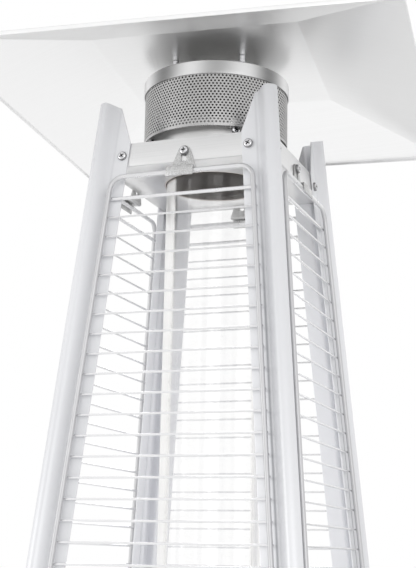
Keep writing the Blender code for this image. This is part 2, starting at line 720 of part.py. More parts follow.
def make_hinges(frame, length):
    """Leaf on the post's flange with two knuckles and the pin that the door's eye turns on."""
    places = {"hinge_lower": HINGE_INSET, "hinge_upper": length - HINGE_INSET - HINGE_EYE_LENGTH}
    knuckle = HINGE_EYE_LENGTH / 2
    flange = -(HINGE_AXIS_PLANE + FLANGE_SETBACK) + GAP
    for name, place in places.items():
        foot = -knuckle - SLIDE_FIT
        head = HINGE_EYE_LENGTH + SLIDE_FIT + knuckle
        pin = rod(name, HINGE_PIN_RADIUS, foot, head, CHROME, along_axis(frame, place))
        for low, high in ((foot, -SLIDE_FIT), (HINGE_EYE_LENGTH + SLIDE_FIT, head)):
            eye = rod("hinge_knuckle", HINGE_EYE_RADIUS, low, high, CHROME, along_axis(frame, place))
            boolean(pin, eye, "UNION")
        size = (HINGE_LEAF_DEPTH, head - foot, -flange)
        centre = (-size[0] / 2 + HINGE_PIN_RADIUS, (head + foot) / 2, flange / 2)
        leaf = box("hinge_leaf", size, CHROME, frame @ Matrix.Translation((0, place, 0)), centre)
        clear = (HINGE_NOTCH_DEPTH, HINGE_EYE_LENGTH + 2 * SLIDE_FIT, 2 * HINGE_EYE_RADIUS + 2 * SLIDE_FIT)
        notch = box("hinge_notch", clear, CHROME, frame @ Matrix.Translation((0, place, 0)),
                    (0, HINGE_EYE_LENGTH / 2, -SLIDE_FIT))
        boolean(leaf, notch)
        boolean(pin, leaf, "UNION")


def make_handle():
    """Bow handle near the door's free edge."""
    across = half_width(HANDLE_HEIGHT) - HINGE_INSIDE - HANDLE_INSET
    face = DOOR_PLANE + DOOR_SHEET + GAP
    lean = door_frame_angle()
    frame = side_frame(0, across, upslope(HANDLE_HEIGHT, face), face, -lean)
    reach = HANDLE_STANDOFF - HANDLE_RADIUS
    half = HANDLE_LENGTH / 2
    points = rounded_bend([(0, -half, 0), (0, -half, reach), (0, half, reach), (0, half, 0)], 2 * HANDLE_RADIUS)
    made_mesh(wire("door_handle", [points], HANDLE_RADIUS, CHROME, frame, resolution=2))


def make_catch():
    """Magnet block on the free side's flange that the closed door rests on."""
    height = (DOOR_FOOT + DOOR_HEAD) / 2
    head = DOOR_PLANE - GAP
    across = flange_edge(height) - CATCH_WIDTH / 2 - SLIDE_FIT
    frame = side_frame(0, across, upslope(height, head), head, -door_frame_angle())
    size = (CATCH_WIDTH, CATCH_LENGTH, CATCH_DEPTH)
    box("magnet_catch", size, BLACK, frame, (0, 0, -CATCH_DEPTH / 2))


# Controls

def make_controls():
    panel_back = -(PANEL_FACE + SHEET)
    panel_front = -PANEL_FACE
    knob_up = upslope(KNOB_HEIGHT)
    frame = side_frame(0, 0, knob_up, panel_back)
    make_valve(frame)
    stem_foot = SHEET + GAP + SLIDE_FIT
    stem_frame = side_frame(0, 0, knob_up, panel_back)
    rod("valve_stem", STEM_RADIUS, stem_foot, stem_foot + STEM_LENGTH, BRASS, stem_frame)
    make_knob(knob_up, panel_front)
    make_igniter(knob_up, panel_front, panel_back)


def make_valve(frame):
    """Valve block behind the panel: boss for the stem in front, outlets behind, gas inlet below."""
    back = -GAP - VALVE_DEPTH
    valve = box("gas_valve", (VALVE_WIDTH, VALVE_TALL, VALVE_DEPTH), BRASS, frame, (0, 0, -GAP - VALVE_DEPTH / 2))
    boss = rod("valve_boss", VALVE_BOSS_RADIUS, -VALVE_DEPTH / 2, SHEET + GAP, BRASS, frame, steps=MIDDLE_STEPS)
    boolean(valve, boss, "UNION")
    for across, radius in ((0, GAS_PIPE_RADIUS), (VALVE_OUTLET_SPREAD, PILOT_PIPE_RADIUS),
                           (-VALVE_OUTLET_SPREAD, PILOT_PIPE_RADIUS)):
        spot = frame @ Matrix.Translation((across, 0, 0))
        collar = OUTLET_COLLAR_SHARE * radius
        outlet = rod("valve_outlet", collar, back - 2 * radius, -VALVE_DEPTH / 2, BRASS, spot, FINE_STEPS)
        boolean(valve, outlet, "UNION")
    down = frame @ Matrix.Translation((0, 0, back / 2)) @ Matrix.Rotation(QUARTER_TURN, 4, "X")
    reach = VALVE_TALL / 2 + INLET_LENGTH
    boolean(valve, rod("gas_inlet", INLET_RADIUS, 0, reach, BRASS, down, steps=6), "UNION")


def make_knob(knob_up, panel_front):
    """Knob whose blind hole takes the stem and leaves room for the push."""
    stand = GAP + SLIDE_FIT + KNOB_TRAVEL + GAP
    frame = side_frame(0, 0, knob_up, panel_front + stand)
    skirt = KNOB_DEPTH / 3
    bore = STEM_RADIUS + SLIDE_FIT / 2
    deep = STEM_LENGTH + GAP
    profile = [(0, KNOB_DEPTH + deep / 2), (KNOB_GRIP_RADIUS, KNOB_DEPTH + deep / 2), (KNOB_GRIP_RADIUS, skirt),
               (KNOB_RADIUS, skirt), (KNOB_RADIUS, 0), (bore, 0), (bore, deep), (0, deep)]
    turned("control_knob", profile, BLACK, frame, steps=ROUND_STEPS)


def make_igniter(knob_up, panel_front, panel_back):
    """Push button in the collar of a spark generator that is held in the panel."""
    face = side_frame(0, BUTTON_OFFSET, knob_up, panel_front + GAP)
    collar = BUTTON_RADIUS / 2
    bore = BUTTON_RADIUS + SLIDE_FIT / 2
    floor = -IGNITER_DEPTH / 2
    body = [(0, floor), (bore, floor), (bore, collar), (IGNITER_COLLAR_RADIUS, collar), (IGNITER_COLLAR_RADIUS, 0),
            (IGNITER_BODY_RADIUS, 0), (IGNITER_BODY_RADIUS, -IGNITER_DEPTH), (0, -IGNITER_DEPTH)]
    turned("igniter_body", body, BLACK, face, steps=MIDDLE_STEPS)
    back = floor + BUTTON_TRAVEL + SLIDE_FIT
    rod("igniter_button", BUTTON_RADIUS, back, collar + BUTTON_PROUD, CHROME, face, steps=MIDDLE_STEPS)


# Burner

def leaving(frame, out):
    """A point straight out of a frame and the way back into the cabinet from it."""
    start = frame @ Vector((0, 0, out))
    return start, -(frame.to_3x3() @ Vector((0, 0, 1)))


def valve_outlet(across, radius):
    """Where a pipe meets the back of the valve, and the way it leaves."""
    frame = side_frame(0, across, upslope(KNOB_HEIGHT), -(PANEL_FACE + SHEET))
    return leaving(frame, -GAP - VALVE_DEPTH - 2 * radius - GAP)


def make_burner():
    bore = NOZZLE_RADIUS + GAP
    head = DECK_TOP + GAP + CUP_HEIGHT
    inside = CUP_RADIUS - CUP_SHEET
    floor = DECK_TOP + GAP
    profile = [(CUP_RADIUS, head), (CUP_RADIUS, floor), (bore, floor), (bore, CUP_FLOOR), (inside, CUP_FLOOR),
               (inside, head)]
    cup = turned("burner_cup", profile, HEATED, closed=True)
    for i, radius in enumerate((PILOT_RADIUS, PROBE_RADIUS, PILOT_RADIUS)):
        place = fitting_frame(i)
        boolean(cup, rod("fitting_hole", radius + GAP, floor - OVERRUN, CUP_FLOOR + OVERRUN, HEATED, place, FINE_STEPS))
    flange = NOZZLE_RADIUS + FITTING_COLLAR
    seat = CUP_FLOOR + GAP
    nozzle = [(0, NOZZLE_HEAD), (NOZZLE_RADIUS / 2, NOZZLE_HEAD), (NOZZLE_RADIUS, NOZZLE_HEAD - NOZZLE_RADIUS),
              (flange, seat + FITTING_COLLAR), (flange, seat), (NOZZLE_RADIUS, seat), (NOZZLE_RADIUS, NOZZLE_FOOT),
              (0, NOZZLE_FOOT)]
    turned("burner_nozzle", nozzle, BRASS, steps=MIDDLE_STEPS)
    make_gas_pipe()
    make_fittings()


def fitting_frame(index):
    return spun(math.radians(-66 - 60 * index), FITTING_CIRCLE, 0)


def make_gas_pipe():
    """Pipe from the valve to the foot of the nozzle."""
    start, ahead = valve_outlet(0, GAS_PIPE_RADIUS)
    foot = Vector((0, 0, NOZZLE_FOOT - GAP))
    turn = start + ahead * GAS_PIPE_REACH
    under = Vector((0, 0, turn.z))
    points = rounded_bend([start, turn, under, foot], 3 * GAS_PIPE_RADIUS)
    made_mesh(wire("gas_pipe", [points], GAS_PIPE_RADIUS, BRUSHED, resolution=2))


def make_fittings():
    """Pilot, flame sensor and spark electrode stand in the cup on their collars, each with its lead."""
    seat = CUP_FLOOR + GAP
    below = DECK_FOOT - 3 * FITTING_COLLAR
    igniter_back = side_frame(0, BUTTON_OFFSET, upslope(KNOB_HEIGHT), GAP - PANEL_FACE - IGNITER_DEPTH)
    fittings = (("pilot_burner", PILOT_RADIUS, PILOT_RISE, BRASS, PILOT_PIPE_RADIUS,
                 valve_outlet(VALVE_OUTLET_SPREAD, PILOT_PIPE_RADIUS)),
                ("flame_sensor", PROBE_RADIUS, PROBE_RISE, CHROME, LEAD_RADIUS,
                 valve_outlet(-VALVE_OUTLET_SPREAD, PILOT_PIPE_RADIUS)),
                ("spark_electrode", PILOT_RADIUS, ELECTRODE_RISE, CERAMIC, LEAD_RADIUS,
                 leaving(igniter_back, -GAP)))
    for i, (name, radius, rise, material, lead_radius, leave) in enumerate(fittings):
        profile = [(0, seat + rise), (radius, seat + rise), (radius, seat + FITTING_COLLAR),
                   (FITTING_COLLAR_RADIUS, seat + FITTING_COLLAR), (FITTING_COLLAR_RADIUS, seat), (radius, seat),
                   (radius, below), (0, below)]
        fitting = turned(name, profile, material, fitting_frame(i), steps=FINE_STEPS)
        end = fitting_frame(i) @ Vector((0, 0, below + FITTING_COLLAR))
        boolean(fitting, make_lead(*leave, end, lead_radius, below - (i + 1) * LEAD_SPREAD_SHARE * KNOB_BELOW_DECK), "UNION")


def make_lead(start, ahead, end, radius, level):
    """Thin pipe or wire: out of its socket, across at a level and up into a fitting."""
    run = start + ahead * LEAD_REACH
    rise = Vector((run.x, run.y, level))
    points = rounded_bend([start, run, rise, Vector((end.x, end.y, level)), end], LEAD_BEND)
    return made_mesh(wire("lead", [points], radius, BRASS))


# Glass tube

def make_tube():
    seat = DECK_TOP + GAP
    outer = TUBE_RADIUS + GAP + SEAL_WALL
    profile = [(outer, seat + SEAL_HEIGHT), (outer, seat), (CUP_RADIUS + GAP, seat), (CUP_RADIUS + GAP, TUBE_FOOT - GAP),
               (TUBE_RADIUS + GAP, TUBE_FOOT - GAP), (TUBE_RADIUS + GAP, seat + SEAL_HEIGHT)]
    turned("tube_seal", profile, RUBBER, closed=True)
    tube = ring_profile(TUBE_RADIUS, TUBE_RADIUS - TUBE_WALL, TUBE_HEAD, TUBE_FOOT)
    turned("glass_tube", tube, GLASS, closed=True)


# Guards

def guard_foot():
    """Height of the middle of a guard's bottom bar."""
    return DECK_TOP + GAP + GUARD_BAR_RADIUS / math.cos(LEAN)


def guard_half_width(height):
    """Distance from the middle of a guard to the middle of its side bar."""
    return half_width(height) - GUARD_INSET


def guard_outline():
    """Path of the edge bar in the plane of a side, with its corners rounded."""
    foot = guard_foot()
    head = FIRST_CROSSBAR + GUARD_HEAD
    corners = []
    for sign, height in ((-1, foot), (-1, head), (1, head), (1, foot)):
        corners.append(Vector((sign * guard_half_width(height), upslope(height, GUARD_PLANE), 0)))
    middle = (corners[0] + corners[-1]) / 2
    return rounded_bend([middle, *corners, middle], GUARD_CORNER_RADIUS, steps=3)[:-1]


def crossbar_heights():
    count = int((FIRST_CROSSBAR - guard_foot() - CROSSBAR_PITCH / 2) / CROSSBAR_PITCH)
    return [FIRST_CROSSBAR - i * CROSSBAR_PITCH for i in range(1, count)]


def crossbar(height):
    """Ends of a bar that is welded between the edge bars."""
    reach = guard_half_width(height)
    up = upslope(height, GUARD_PLANE)
    return [(-reach, up, 0), (reach, up, 0)]


def make_guards():
    """Wire guards, one to a side; they stand with two pins in the deck and clips hold their heads."""
    for side, side_name in enumerate(SIDES):
        frame = side_frame(side, outward=GUARD_PLANE)
        name = side_name + "_guard"
        guard = made_mesh(wire(name, [guard_outline()], GUARD_BAR_RADIUS, WIRE, frame, closed=True,
                               tilt=GUARD_FACET_TURN))
        bars = [crossbar(height) for height in crossbar_heights()]
        boolean(guard, made_mesh(wire("crossbars", bars, CROSSBAR_RADIUS, WIRE, frame, resolution=0)), "UNION")
        first = wire("first_crossbar", [crossbar(FIRST_CROSSBAR)], FIRST_CROSSBAR_RADIUS, WIRE, frame, resolution=0)
        boolean(guard, made_mesh(first), "UNION")
        foot = upslope(guard_foot(), GUARD_PLANE)
        across = GUARD_PIN_SHARE * guard_half_width(guard_foot())
        for sign in (-1, 1):
            path = [[(sign * across, foot, 0), (sign * across, foot - GUARD_PIN_LENGTH, 0)]]
            pin = made_mesh(wire("guard_pin", path, GUARD_PIN_RADIUS, WIRE, frame, resolution=1))
            boolean(guard, pin, "UNION")


# Top tray and clips

def tray_face(height):
    """Half width of the tray's outer face at a height."""
    return half_width(height) - PANEL_FACE / math.cos(LEAN)


def make_tray():
    """Folded tray between the post heads; the flame passes through the hole in its floor."""
    head = TRAY_FOOT + TRAY_HEIGHT
    low = tray_face(TRAY_FOOT)
    high = tray_face(head)
    bm = bmesh.new()
    floor = [bm.verts.new((x * low, y * low, TRAY_FOOT)) for x, y in ((-1, -1), (1, -1), (1, 1), (-1, 1))]
    rim = [bm.verts.new((x * high, y * high, head)) for x, y in ((-1, -1), (1, -1), (1, 1), (-1, 1))]
    bm.faces.new(floor[::-1])
    for i in range(4):
        j = (i + 1) % 4
        bm.faces.new((floor[i], floor[j], rim[j], rim[i]))
    mesh = bpy.data.meshes.new("top_tray")
    bm.to_mesh(mesh)
    bm.free()
    tray = add_object("top_tray", mesh, BRUSHED)
    wall = tray.modifiers.new("sheet", "SOLIDIFY")
    wall.thickness = SHEET
    wall.offset = -1
    boolean(tray, rod("tray_hole", TRAY_HOLE_RADIUS, TRAY_FOOT - OVERRUN, TRAY_FOOT + OVERRUN, BRUSHED,
                      steps=ROUND_STEPS))
    up = upslope(TRAY_FOOT + CLIP_SCREW_ABOVE_TRAY, -PANEL_FACE)
    for side in range(4):
        frame = side_frame(side, 0, up, -PANEL_FACE)
        boolean(tray, rod("screw_hole", SCREW_SHANK_RADIUS + GAP, -OVERRUN, OVERRUN, BRUSHED, frame))


def clip_outline():
    """Front outline of the clip's plate, from the foot's left corner round the rounded head."""
    head = CLIP_HEAD_ABOVE_TRAY
    radius = CLIP_HEAD_WIDTH / 2
    foot = -CLIP_PLATE_BELOW_TRAY
    return [(-CLIP_FOOT_WIDTH / 2, foot), (CLIP_FOOT_WIDTH / 2, foot), *arc((0, head - radius), radius, CLIP_HEAD_TANGENT, 180 - CLIP_HEAD_TANGENT, 6)]


def make_clips():
    """Slotted plates on the tray's sides whose lips hook over the guards' head bars."""
    face = -PANEL_FACE + GAP
    foot = upslope(TRAY_FOOT, face)
    step = GUARD_PLANE + GUARD_BAR_RADIUS + GAP + SHEET - face
    for side, side_name in enumerate(SIDES):
        frame = side_frame(side, 0, foot, face)
        name = side_name + "_clip"
        middle = frame @ Matrix.Translation((0, 0, SHEET / 2))
        clip = rebased(made_mesh(plate(name, [clip_outline()], SHEET, BRUSHED, middle)), frame)
        low = -CLIP_PLATE_BELOW_TRAY
        shelf = box("clip_shelf", (CLIP_FOOT_WIDTH, SHEET, step), BRUSHED, frame, (0, low - SHEET / 2 + GAP, step / 2))
        boolean(clip, shelf, "UNION")
        lip = box("clip_lip", (CLIP_FOOT_WIDTH, CLIP_LIP, SHEET), BRUSHED, frame,
                  (0, low + GAP - CLIP_LIP / 2, step - SHEET / 2))
        boolean(clip, lip, "UNION")
        boolean(clip, clip_slot(frame))
        make_clip_screw(side, side_name)


def clip_slot(frame):
    """Slot below the screw, as long as the clip's lift."""
    radius = SCREW_SHANK_RADIUS + CLIP_SLOT_SLACK
    head = CLIP_SCREW_ABOVE_TRAY
    foot = head - CLIP_TRAVEL
    outline = arc((0, head), radius, 0, 180, 6) + arc((0, foot), radius, 180, 360, 6)
    return made_mesh(plate("clip_slot", [outline], 4 * SHEET, BRUSHED, frame))


def make_clip_screw(side, side_name):
    """Pan-head screw through the clip's slot into the tray."""
    seat = SHEET + GAP
    frame = side_frame(side, 0, upslope(TRAY_FOOT, -PANEL_FACE + GAP) + CLIP_SCREW_ABOVE_TRAY, -PANEL_FACE + GAP)
    head = seat + SCREW_HEAD_HEIGHT
    edge = SCREW_HEAD_HEIGHT / 2
    profile = [(0, head), (SCREW_HEAD_RADIUS - edge, head), (SCREW_HEAD_RADIUS, head - edge), (SCREW_HEAD_RADIUS, seat),
               (SCREW_SHANK_RADIUS, seat), (SCREW_SHANK_RADIUS, seat - SCREW_LENGTH), (0, seat - SCREW_LENGTH)]
    turned(side_name + "_clip_screw", profile, CHROME, frame, steps=FINE_STEPS)


# Flame screen and reflector

def make_screen():
    """Base ring on the tray, perforated wall round it and a lid with a rim band."""
    floor = TRAY_FOOT + SHEET + GAP
    base = [(SCREEN_BASE_RADIUS, floor + SCREEN_BASE_HEIGHT), (SCREEN_BASE_RADIUS, floor), (COLLAR_RADIUS + SHEET, floor),
            (COLLAR_RADIUS + SHEET, TRAY_FOOT), (COLLAR_RADIUS, TRAY_FOOT),
            (COLLAR_RADIUS, floor + SHEET), (SCREEN_BASE_RADIUS - SHEET, floor + SHEET),
            (SCREEN_BASE_RADIUS - SHEET, floor + SCREEN_BASE_HEIGHT)]
    ring = turned("screen_base", base, HEATED, closed=True)
    inside = SCREEN_RADIUS - SCREEN_SHEET
    for angle in TAB_ANGLES:
        frame = spun(math.radians(angle), (SCREEN_BASE_RADIUS + inside) / 2, SCREEN_FOOT + TAB_HEIGHT / 2)
        reach = inside - SCREEN_BASE_RADIUS
        boolean(ring, box("screen_tab", (reach, TAB_WIDTH, TAB_HEIGHT), HEATED, frame, (-SHEET / 2, 0, 0)), "UNION")
    wall = ring_profile(SCREEN_RADIUS, inside, SCREEN_FOOT + SCREEN_HEIGHT, SCREEN_FOOT)
    turned("flame_screen", wall, BRUSHED, closed=True)
    bore = SCREEN_RADIUS + GAP
    lid = [(0, LID_TOP), (bore + LID_SHEET, LID_TOP), (bore + LID_SHEET, LID_TOP - LID_BAND), (bore, LID_TOP - LID_BAND),
           (bore, LID_TOP - LID_SHEET), (0, LID_TOP - LID_SHEET)]
    turned("screen_lid", lid, BRUSHED)


def stud_frames():
    for i in range(4):
        yield i, spun(REFLECTOR_TURN + math.radians(45 + 90 * i), STUD_CIRCLE, 0)


def make_reflector():
    """Square sheet: a flat middle, four falling borders and a short lip turned down."""
    bm = bmesh.new()
    rows = ((REFLECTOR_PLATE_HALF, REFLECTOR_PLATE_HEIGHT), (REFLECTOR_HALF, REFLECTOR_PLATE_HEIGHT - REFLECTOR_FALL),
            (REFLECTOR_HALF, REFLECTOR_PLATE_HEIGHT - REFLECTOR_FALL - REFLECTOR_LIP))
    rings = []
    for half, height in rows:
        rings.append([bm.verts.new((x * half, y * half, height)) for x, y in ((-1, -1), (1, -1), (1, 1), (-1, 1))])
    bm.faces.new(rings[0])
    for upper, lower in zip(rings, rings[1:]):
        for i in range(4):
            j = (i + 1) % 4
            bm.faces.new((upper[j], upper[i], lower[i], lower[j]))
    mesh = bpy.data.meshes.new("reflector")
    bm.to_mesh(mesh)
    bm.free()
    reflector = add_object("reflector", mesh, MIRROR, Matrix.Rotation(REFLECTOR_TURN, 4, "Z"))
    wall = reflector.modifiers.new("sheet", "SOLIDIFY")
    wall.thickness = REFLECTOR_SHEET
    wall.offset = 1
    for i, frame in stud_frames():
        low = REFLECTOR_PLATE_HEIGHT - OVERRUN
        high = REFLECTOR_PLATE_HEIGHT + OVERRUN
        boolean(reflector, rod("stud_hole", STUD_THREAD_RADIUS + GAP, low, high, MIRROR, frame, FINE_STEPS))
        make_stud(i, frame)


def make_stud(index, frame):
    """Shoulder stud from the lid through the reflector, and the wing nut on it."""
    foot = LID_TOP + GAP
    seat = REFLECTOR_PLATE_HEIGHT - GAP
    head = REFLECTOR_PLATE_HEIGHT + REFLECTOR_SHEET + STUD_RISE
    profile = [(0, head), (STUD_THREAD_RADIUS, head), (STUD_THREAD_RADIUS, seat), (STUD_SHOULDER_RADIUS, seat),
               (STUD_SHOULDER_RADIUS, foot), (0, foot)]
    turned(f"reflector_stud_{index + 1}", profile, CHROME, frame, steps=FINE_STEPS)
    base = REFLECTOR_PLATE_HEIGHT + REFLECTOR_SHEET + GAP
    bore = STUD_THREAD_RADIUS + GAP
    body = [(NUT_NECK_RADIUS, base + NUT_HEIGHT), (NUT_RADIUS, base), (bore, base), (bore, base + NUT_HEIGHT)]
    nut = turned(f"wing_nut_{index + 1}", body, CHROME, frame, steps=FINE_STEPS, closed=True)
    for sign in (-1, 1):
        inner = (bore + NUT_NECK_RADIUS) / 2
        outline = [(sign * inner, 0), (sign * NUT_RADIUS, 0), (sign * NUT_WING_REACH, NUT_WING_HEIGHT),
                   (sign * inner, NUT_HEIGHT - GAP)]
        stand = frame @ Matrix.Translation((0, 0, base + GAP)) @ Matrix.Rotation(QUARTER_TURN, 4, "X")
        boolean(nut, made_mesh(plate("nut_wing", [outline], NUT_WING_SHEET, CHROME, stand)), "UNION")


make_posts()
make_base()
make_panels()
make_deck()
make_door()
make_controls()
make_burner()
make_tube()
make_guards()
make_tray()
make_clips()
make_screen()
make_reflector()
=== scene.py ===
import math

import bmesh
import bpy
from mathutils import Matrix, Vector


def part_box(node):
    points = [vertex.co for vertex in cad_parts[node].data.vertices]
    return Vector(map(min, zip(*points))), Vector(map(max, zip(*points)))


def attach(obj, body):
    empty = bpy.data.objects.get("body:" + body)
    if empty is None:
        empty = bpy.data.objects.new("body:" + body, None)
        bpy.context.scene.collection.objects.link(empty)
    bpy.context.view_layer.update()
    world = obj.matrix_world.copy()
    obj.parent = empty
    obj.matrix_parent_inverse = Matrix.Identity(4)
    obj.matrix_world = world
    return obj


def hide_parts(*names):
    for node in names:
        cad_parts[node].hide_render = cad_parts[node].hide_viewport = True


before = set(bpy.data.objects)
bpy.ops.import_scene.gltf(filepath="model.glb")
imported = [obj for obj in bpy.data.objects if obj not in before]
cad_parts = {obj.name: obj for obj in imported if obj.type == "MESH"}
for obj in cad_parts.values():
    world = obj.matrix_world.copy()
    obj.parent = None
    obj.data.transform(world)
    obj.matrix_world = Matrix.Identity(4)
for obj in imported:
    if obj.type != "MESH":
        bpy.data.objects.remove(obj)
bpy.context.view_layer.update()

# Camera
# It stands before the heater's right front corner at about eye height and looks
# slightly up at the head of the heater.

PHOTO_HEIGHT_PIXELS = 568
FOCAL_PIXELS = 1231.3
SENSOR_MM = 36
CAMERA_PLACE = (0.4259, -1.1532, 1.6804)
CAMERA_YAW = -0.3581
CAMERA_PITCH = 0.22
CAMERA_ROLL = 0.0191
QUARTER_TURN = math.radians(90)


def spun(angle, axis="Z"):
    return Matrix.Rotation(angle, 4, axis)


def shift(place):
    return Matrix.Translation(place)


def added(name, data):
    """A new object in the scene."""
    item = bpy.data.objects.new(name, data)
    bpy.context.scene.collection.objects.link(item)
    return item


camera_data = bpy.data.cameras.new("camera")
camera_data.sensor_width = SENSOR_MM
camera_data.lens = FOCAL_PIXELS / PHOTO_HEIGHT_PIXELS * SENSOR_MM
camera = added("camera", camera_data)
looking = spun(-CAMERA_YAW) @ spun(QUARTER_TURN + CAMERA_PITCH, "X")
camera.matrix_world = shift(CAMERA_PLACE) @ looking @ spun(CAMERA_ROLL)
bpy.context.scene.camera = camera

# Studio
# A pale floor, a white surround and three large soft lamps: one high before the heater
# on the right, a weaker one on the left and one behind. Each lamp has its place, width
# and power.

FLOOR_RADIUS = 14
FLOOR_SIDES = 96
FLOOR_COLOUR = (0.86, 0.86, 0.86, 1)
FLOOR_ROUGHNESS = 0.7
FLOOR_BRIGHT_TO = 4.8
FLOOR_DIM_FROM = 9
FLOOR_DIM_SHARE = 0.5
SURROUND_LIGHT = 0.92
WHITE = (1, 1, 1, 1)
LAMPS = (
    ("front_softbox", (1.9, -2.7, 2.2), 2.2, 15),
    ("left_softbox", (-2.6, -1.8, 2.0), 1.8, 14),
    ("back_softbox", (-0.6, 2.8, 2.9), 1.6, 20),
)
LAMP_TARGET = Vector((0, 0, 1.7))


class Socket:
    """A node's output; arithmetic on it adds Math nodes."""

    def __init__(self, nodes, output):
        self.nodes = nodes
        self.output = output

    def __add__(self, other):
        return self.nodes.math("ADD", self, other)

    __radd__ = __add__

    def __sub__(self, other):
        return self.nodes.math("SUBTRACT", self, other)

    def __rsub__(self, other):
        return self.nodes.math("SUBTRACT", other, self)

    def __mul__(self, other):
        return self.nodes.math("MULTIPLY", self, other)

    __rmul__ = __mul__


class Nodes:
    """Adds nodes to one tree and joins them."""

    def __init__(self, tree):
        self.tree = tree

    def add(self, kind, settings=None, sockets=None, output=0):
        node = self.tree.nodes.new("ShaderNode" + kind)
        for name, value in (settings or {}).items():
            setattr(node, name, value)
        self.join(node, sockets or {})
        return Socket(self, node.outputs[output])

    def join(self, node, sockets):
        for name, value in sockets.items():
            if isinstance(value, Socket):
                self.tree.links.new(value.output, node.inputs[name])
            else:
                node.inputs[name].default_value = value

    def math(self, operation, first, second=0.0):
        return self.add("Math", {"operation": operation}, {0: first, 1: second})

    def place(self):
        return self.add("TexCoord", output="Object")

    def scaled(self, vector, factors):
        return self.add("VectorMath", {"operation": "MULTIPLY"}, {0: vector, 1: factors})

    def length(self, vector):
        return self.add("VectorMath", {"operation": "LENGTH"}, {0: vector}, output="Value")

    def along(self, axis, vector=None):
        """One axis of a vector, or of the place on the object."""
        return self.add("SeparateXYZ", None, {0: vector or self.place()}, output=axis)

    def facing_up(self):
        return self.along("Z", self.add("NewGeometry", output="Normal"))

    def mark(self, name):
        """A number that was written on the mesh."""
        return self.add("Attribute", {"attribute_name": name}, output="Fac")


def in_hand():
    """The object that the last operator made."""
    return bpy.context.view_layer.objects.active


def started(primitive, scale=(1, 1, 1), **settings):
    """A primitive by itself, at its size and place."""
    bpy.ops.object.select_all(action="DESELECT")
    primitive(**settings)
    in_hand().scale = scale
    bpy.ops.object.transform_apply(location=True, rotation=True, scale=True)
    return in_hand()


def any_ray(nodes, *kinds):
    """1 for rays of any of these kinds."""
    share = nodes.add("LightPath", output=kinds[0])
    for kind in kinds[1:]:
        share = nodes.math("MAXIMUM", share, nodes.add("LightPath", output=kind))
    return share


def make_surround():
    world = bpy.data.worlds.new("surround")
    bpy.context.scene.world = world
    world.use_nodes = True
    nodes = Nodes(world.node_tree)
    direct = any_ray(nodes, "Is Camera Ray", "Is Glossy Ray", "Is Transmission Ray")
    strength = SURROUND_LIGHT + (1 - SURROUND_LIGHT) * direct
    nodes.join(world.node_tree.nodes["Background"], {"Color": WHITE, "Strength": strength})


def make_floor():
    floor = started(bpy.ops.mesh.primitive_circle_add, vertices=FLOOR_SIDES, radius=FLOOR_RADIUS,
                    fill_type="NGON")
    floor.name = "floor"
    material = bpy.data.materials.new("pale_floor")
    material.use_nodes = True
    nodes = Nodes(material.node_tree)
    shader = material.node_tree.nodes["Principled BSDF"]
    nodes.join(shader, {"Base Color": FLOOR_COLOUR, "Roughness": FLOOR_ROUGHNESS})
    # Seen in mirrors and through glass the floor glows white, painted light that dims further out from the
    # heater.
    fading = {"Value": nodes.length(nodes.place()), "From Min": FLOOR_BRIGHT_TO, "From Max": FLOOR_DIM_FROM,
              "To Min": 1.0, "To Max": FLOOR_DIM_SHARE}
    white = nodes.add("Emission", None, {"Color": WHITE, "Strength": nodes.add("MapRange", None, fading)})
    mirrored = any_ray(nodes, "Is Glossy Ray", "Is Transmission Ray")
    seen = nodes.add("MixShader", None, {0: mirrored, 1: Socket(nodes, shader.outputs[0]), 2: white})
    nodes.join(material.node_tree.nodes["Material Output"], {"Surface": seen})
    floor.data.materials.append(material)


def make_lamps():
    for name, place, size, power in LAMPS:
        lamp = bpy.data.lights.new(name, "AREA")
        lamp.size = size
        lamp.energy = power
        stand = added(name, lamp)
        stand.location = place
        stand.rotation_mode = "QUATERNION"
        stand.rotation_quaternion = (LAMP_TARGET - Vector(place)).to_track_quat("-Z", "Y")


make_surround()
make_floor()
make_lamps()
bpy.context.scene.view_settings.view_transform = "Standard"

# Corner posts
# Four sheet steel posts with a silvery coating lean in to form the pyramid. Each is
# folded to a rounded corner between two set-back flanges, cut down round the head.

MM = 0.001
FLOOR_HALF_WIDTH = 273 * MM
TOP_HALF_WIDTH = 93 * MM
POST_TOP = 2130 * MM
TAPER = (FLOOR_HALF_WIDTH - TOP_HALF_WIDTH) / POST_TOP
LEAN = math.atan(TAPER)
SHEET = 1.2 * MM
FLANGE_REACH = 38.7 * MM
FLANGE_SETBACK = 9.4 * MM
FLANGE_DROP = 46 * MM
BULGE_START = 23 * MM
BULGE_RADIUS = 9 * MM
CORNER_DROP = 2 * MM
SHOULDER_DROP = 7 * MM
BULGE_STEPS = 14
CORNER_STEPS = 12
FLANGE_STEPS = 9
EDGE_ROUNDING = 0.3 * MM
# Reach and fade of the painted shade along the crease between flange and bulge, which weakens towards the
# head.
FOLD_REACH = 1.5 * MM
FOLD_FADE = 2.2 * MM
FOLD_OPENS_FROM = 1900 * MM
FOLD_OPEN_AT = 2070 * MM
FOLD_OPEN_SHARE = 0.15
BEND_ANGLE = math.radians(35)
MERGE_GAP = 0.01 * MM
COAT_COLOURS = ((0.76, 0.765, 0.785), (0.82, 0.825, 0.845))
# Painted light and shade: the inner skin is coloured paler, and a dark line is painted along the crease of
# the outer skin.
COAT_INSIDE_PAINTED_LIGHT = (0.91, 0.915, 0.94)
COAT_FOLD_PAINTED_SHADE = (0.36, 0.365, 0.385)
CLOUD_SPREAD = (0.35, 0.65)
SPARKLE_SPREAD = (0.3, 0.7)
SPARKLE_SHARE = 0.02
PEEL_DEPTH = 0.02 * MM


def pick(kind, test):
    """In edit mode, select the vertices, edges or faces that pass a test."""
    bpy.ops.mesh.select_mode(type=kind)
    bpy.ops.mesh.select_all(action="DESELECT")
    mesh = bmesh.from_edit_mesh(in_hand().data)
    for part in {"VERT": mesh.verts, "EDGE": mesh.edges, "FACE": mesh.faces}[kind]:
        if test(part):
            part.select_set(True)
    mesh.select_flush_mode()
    bmesh.update_edit_mesh(in_hand().data)


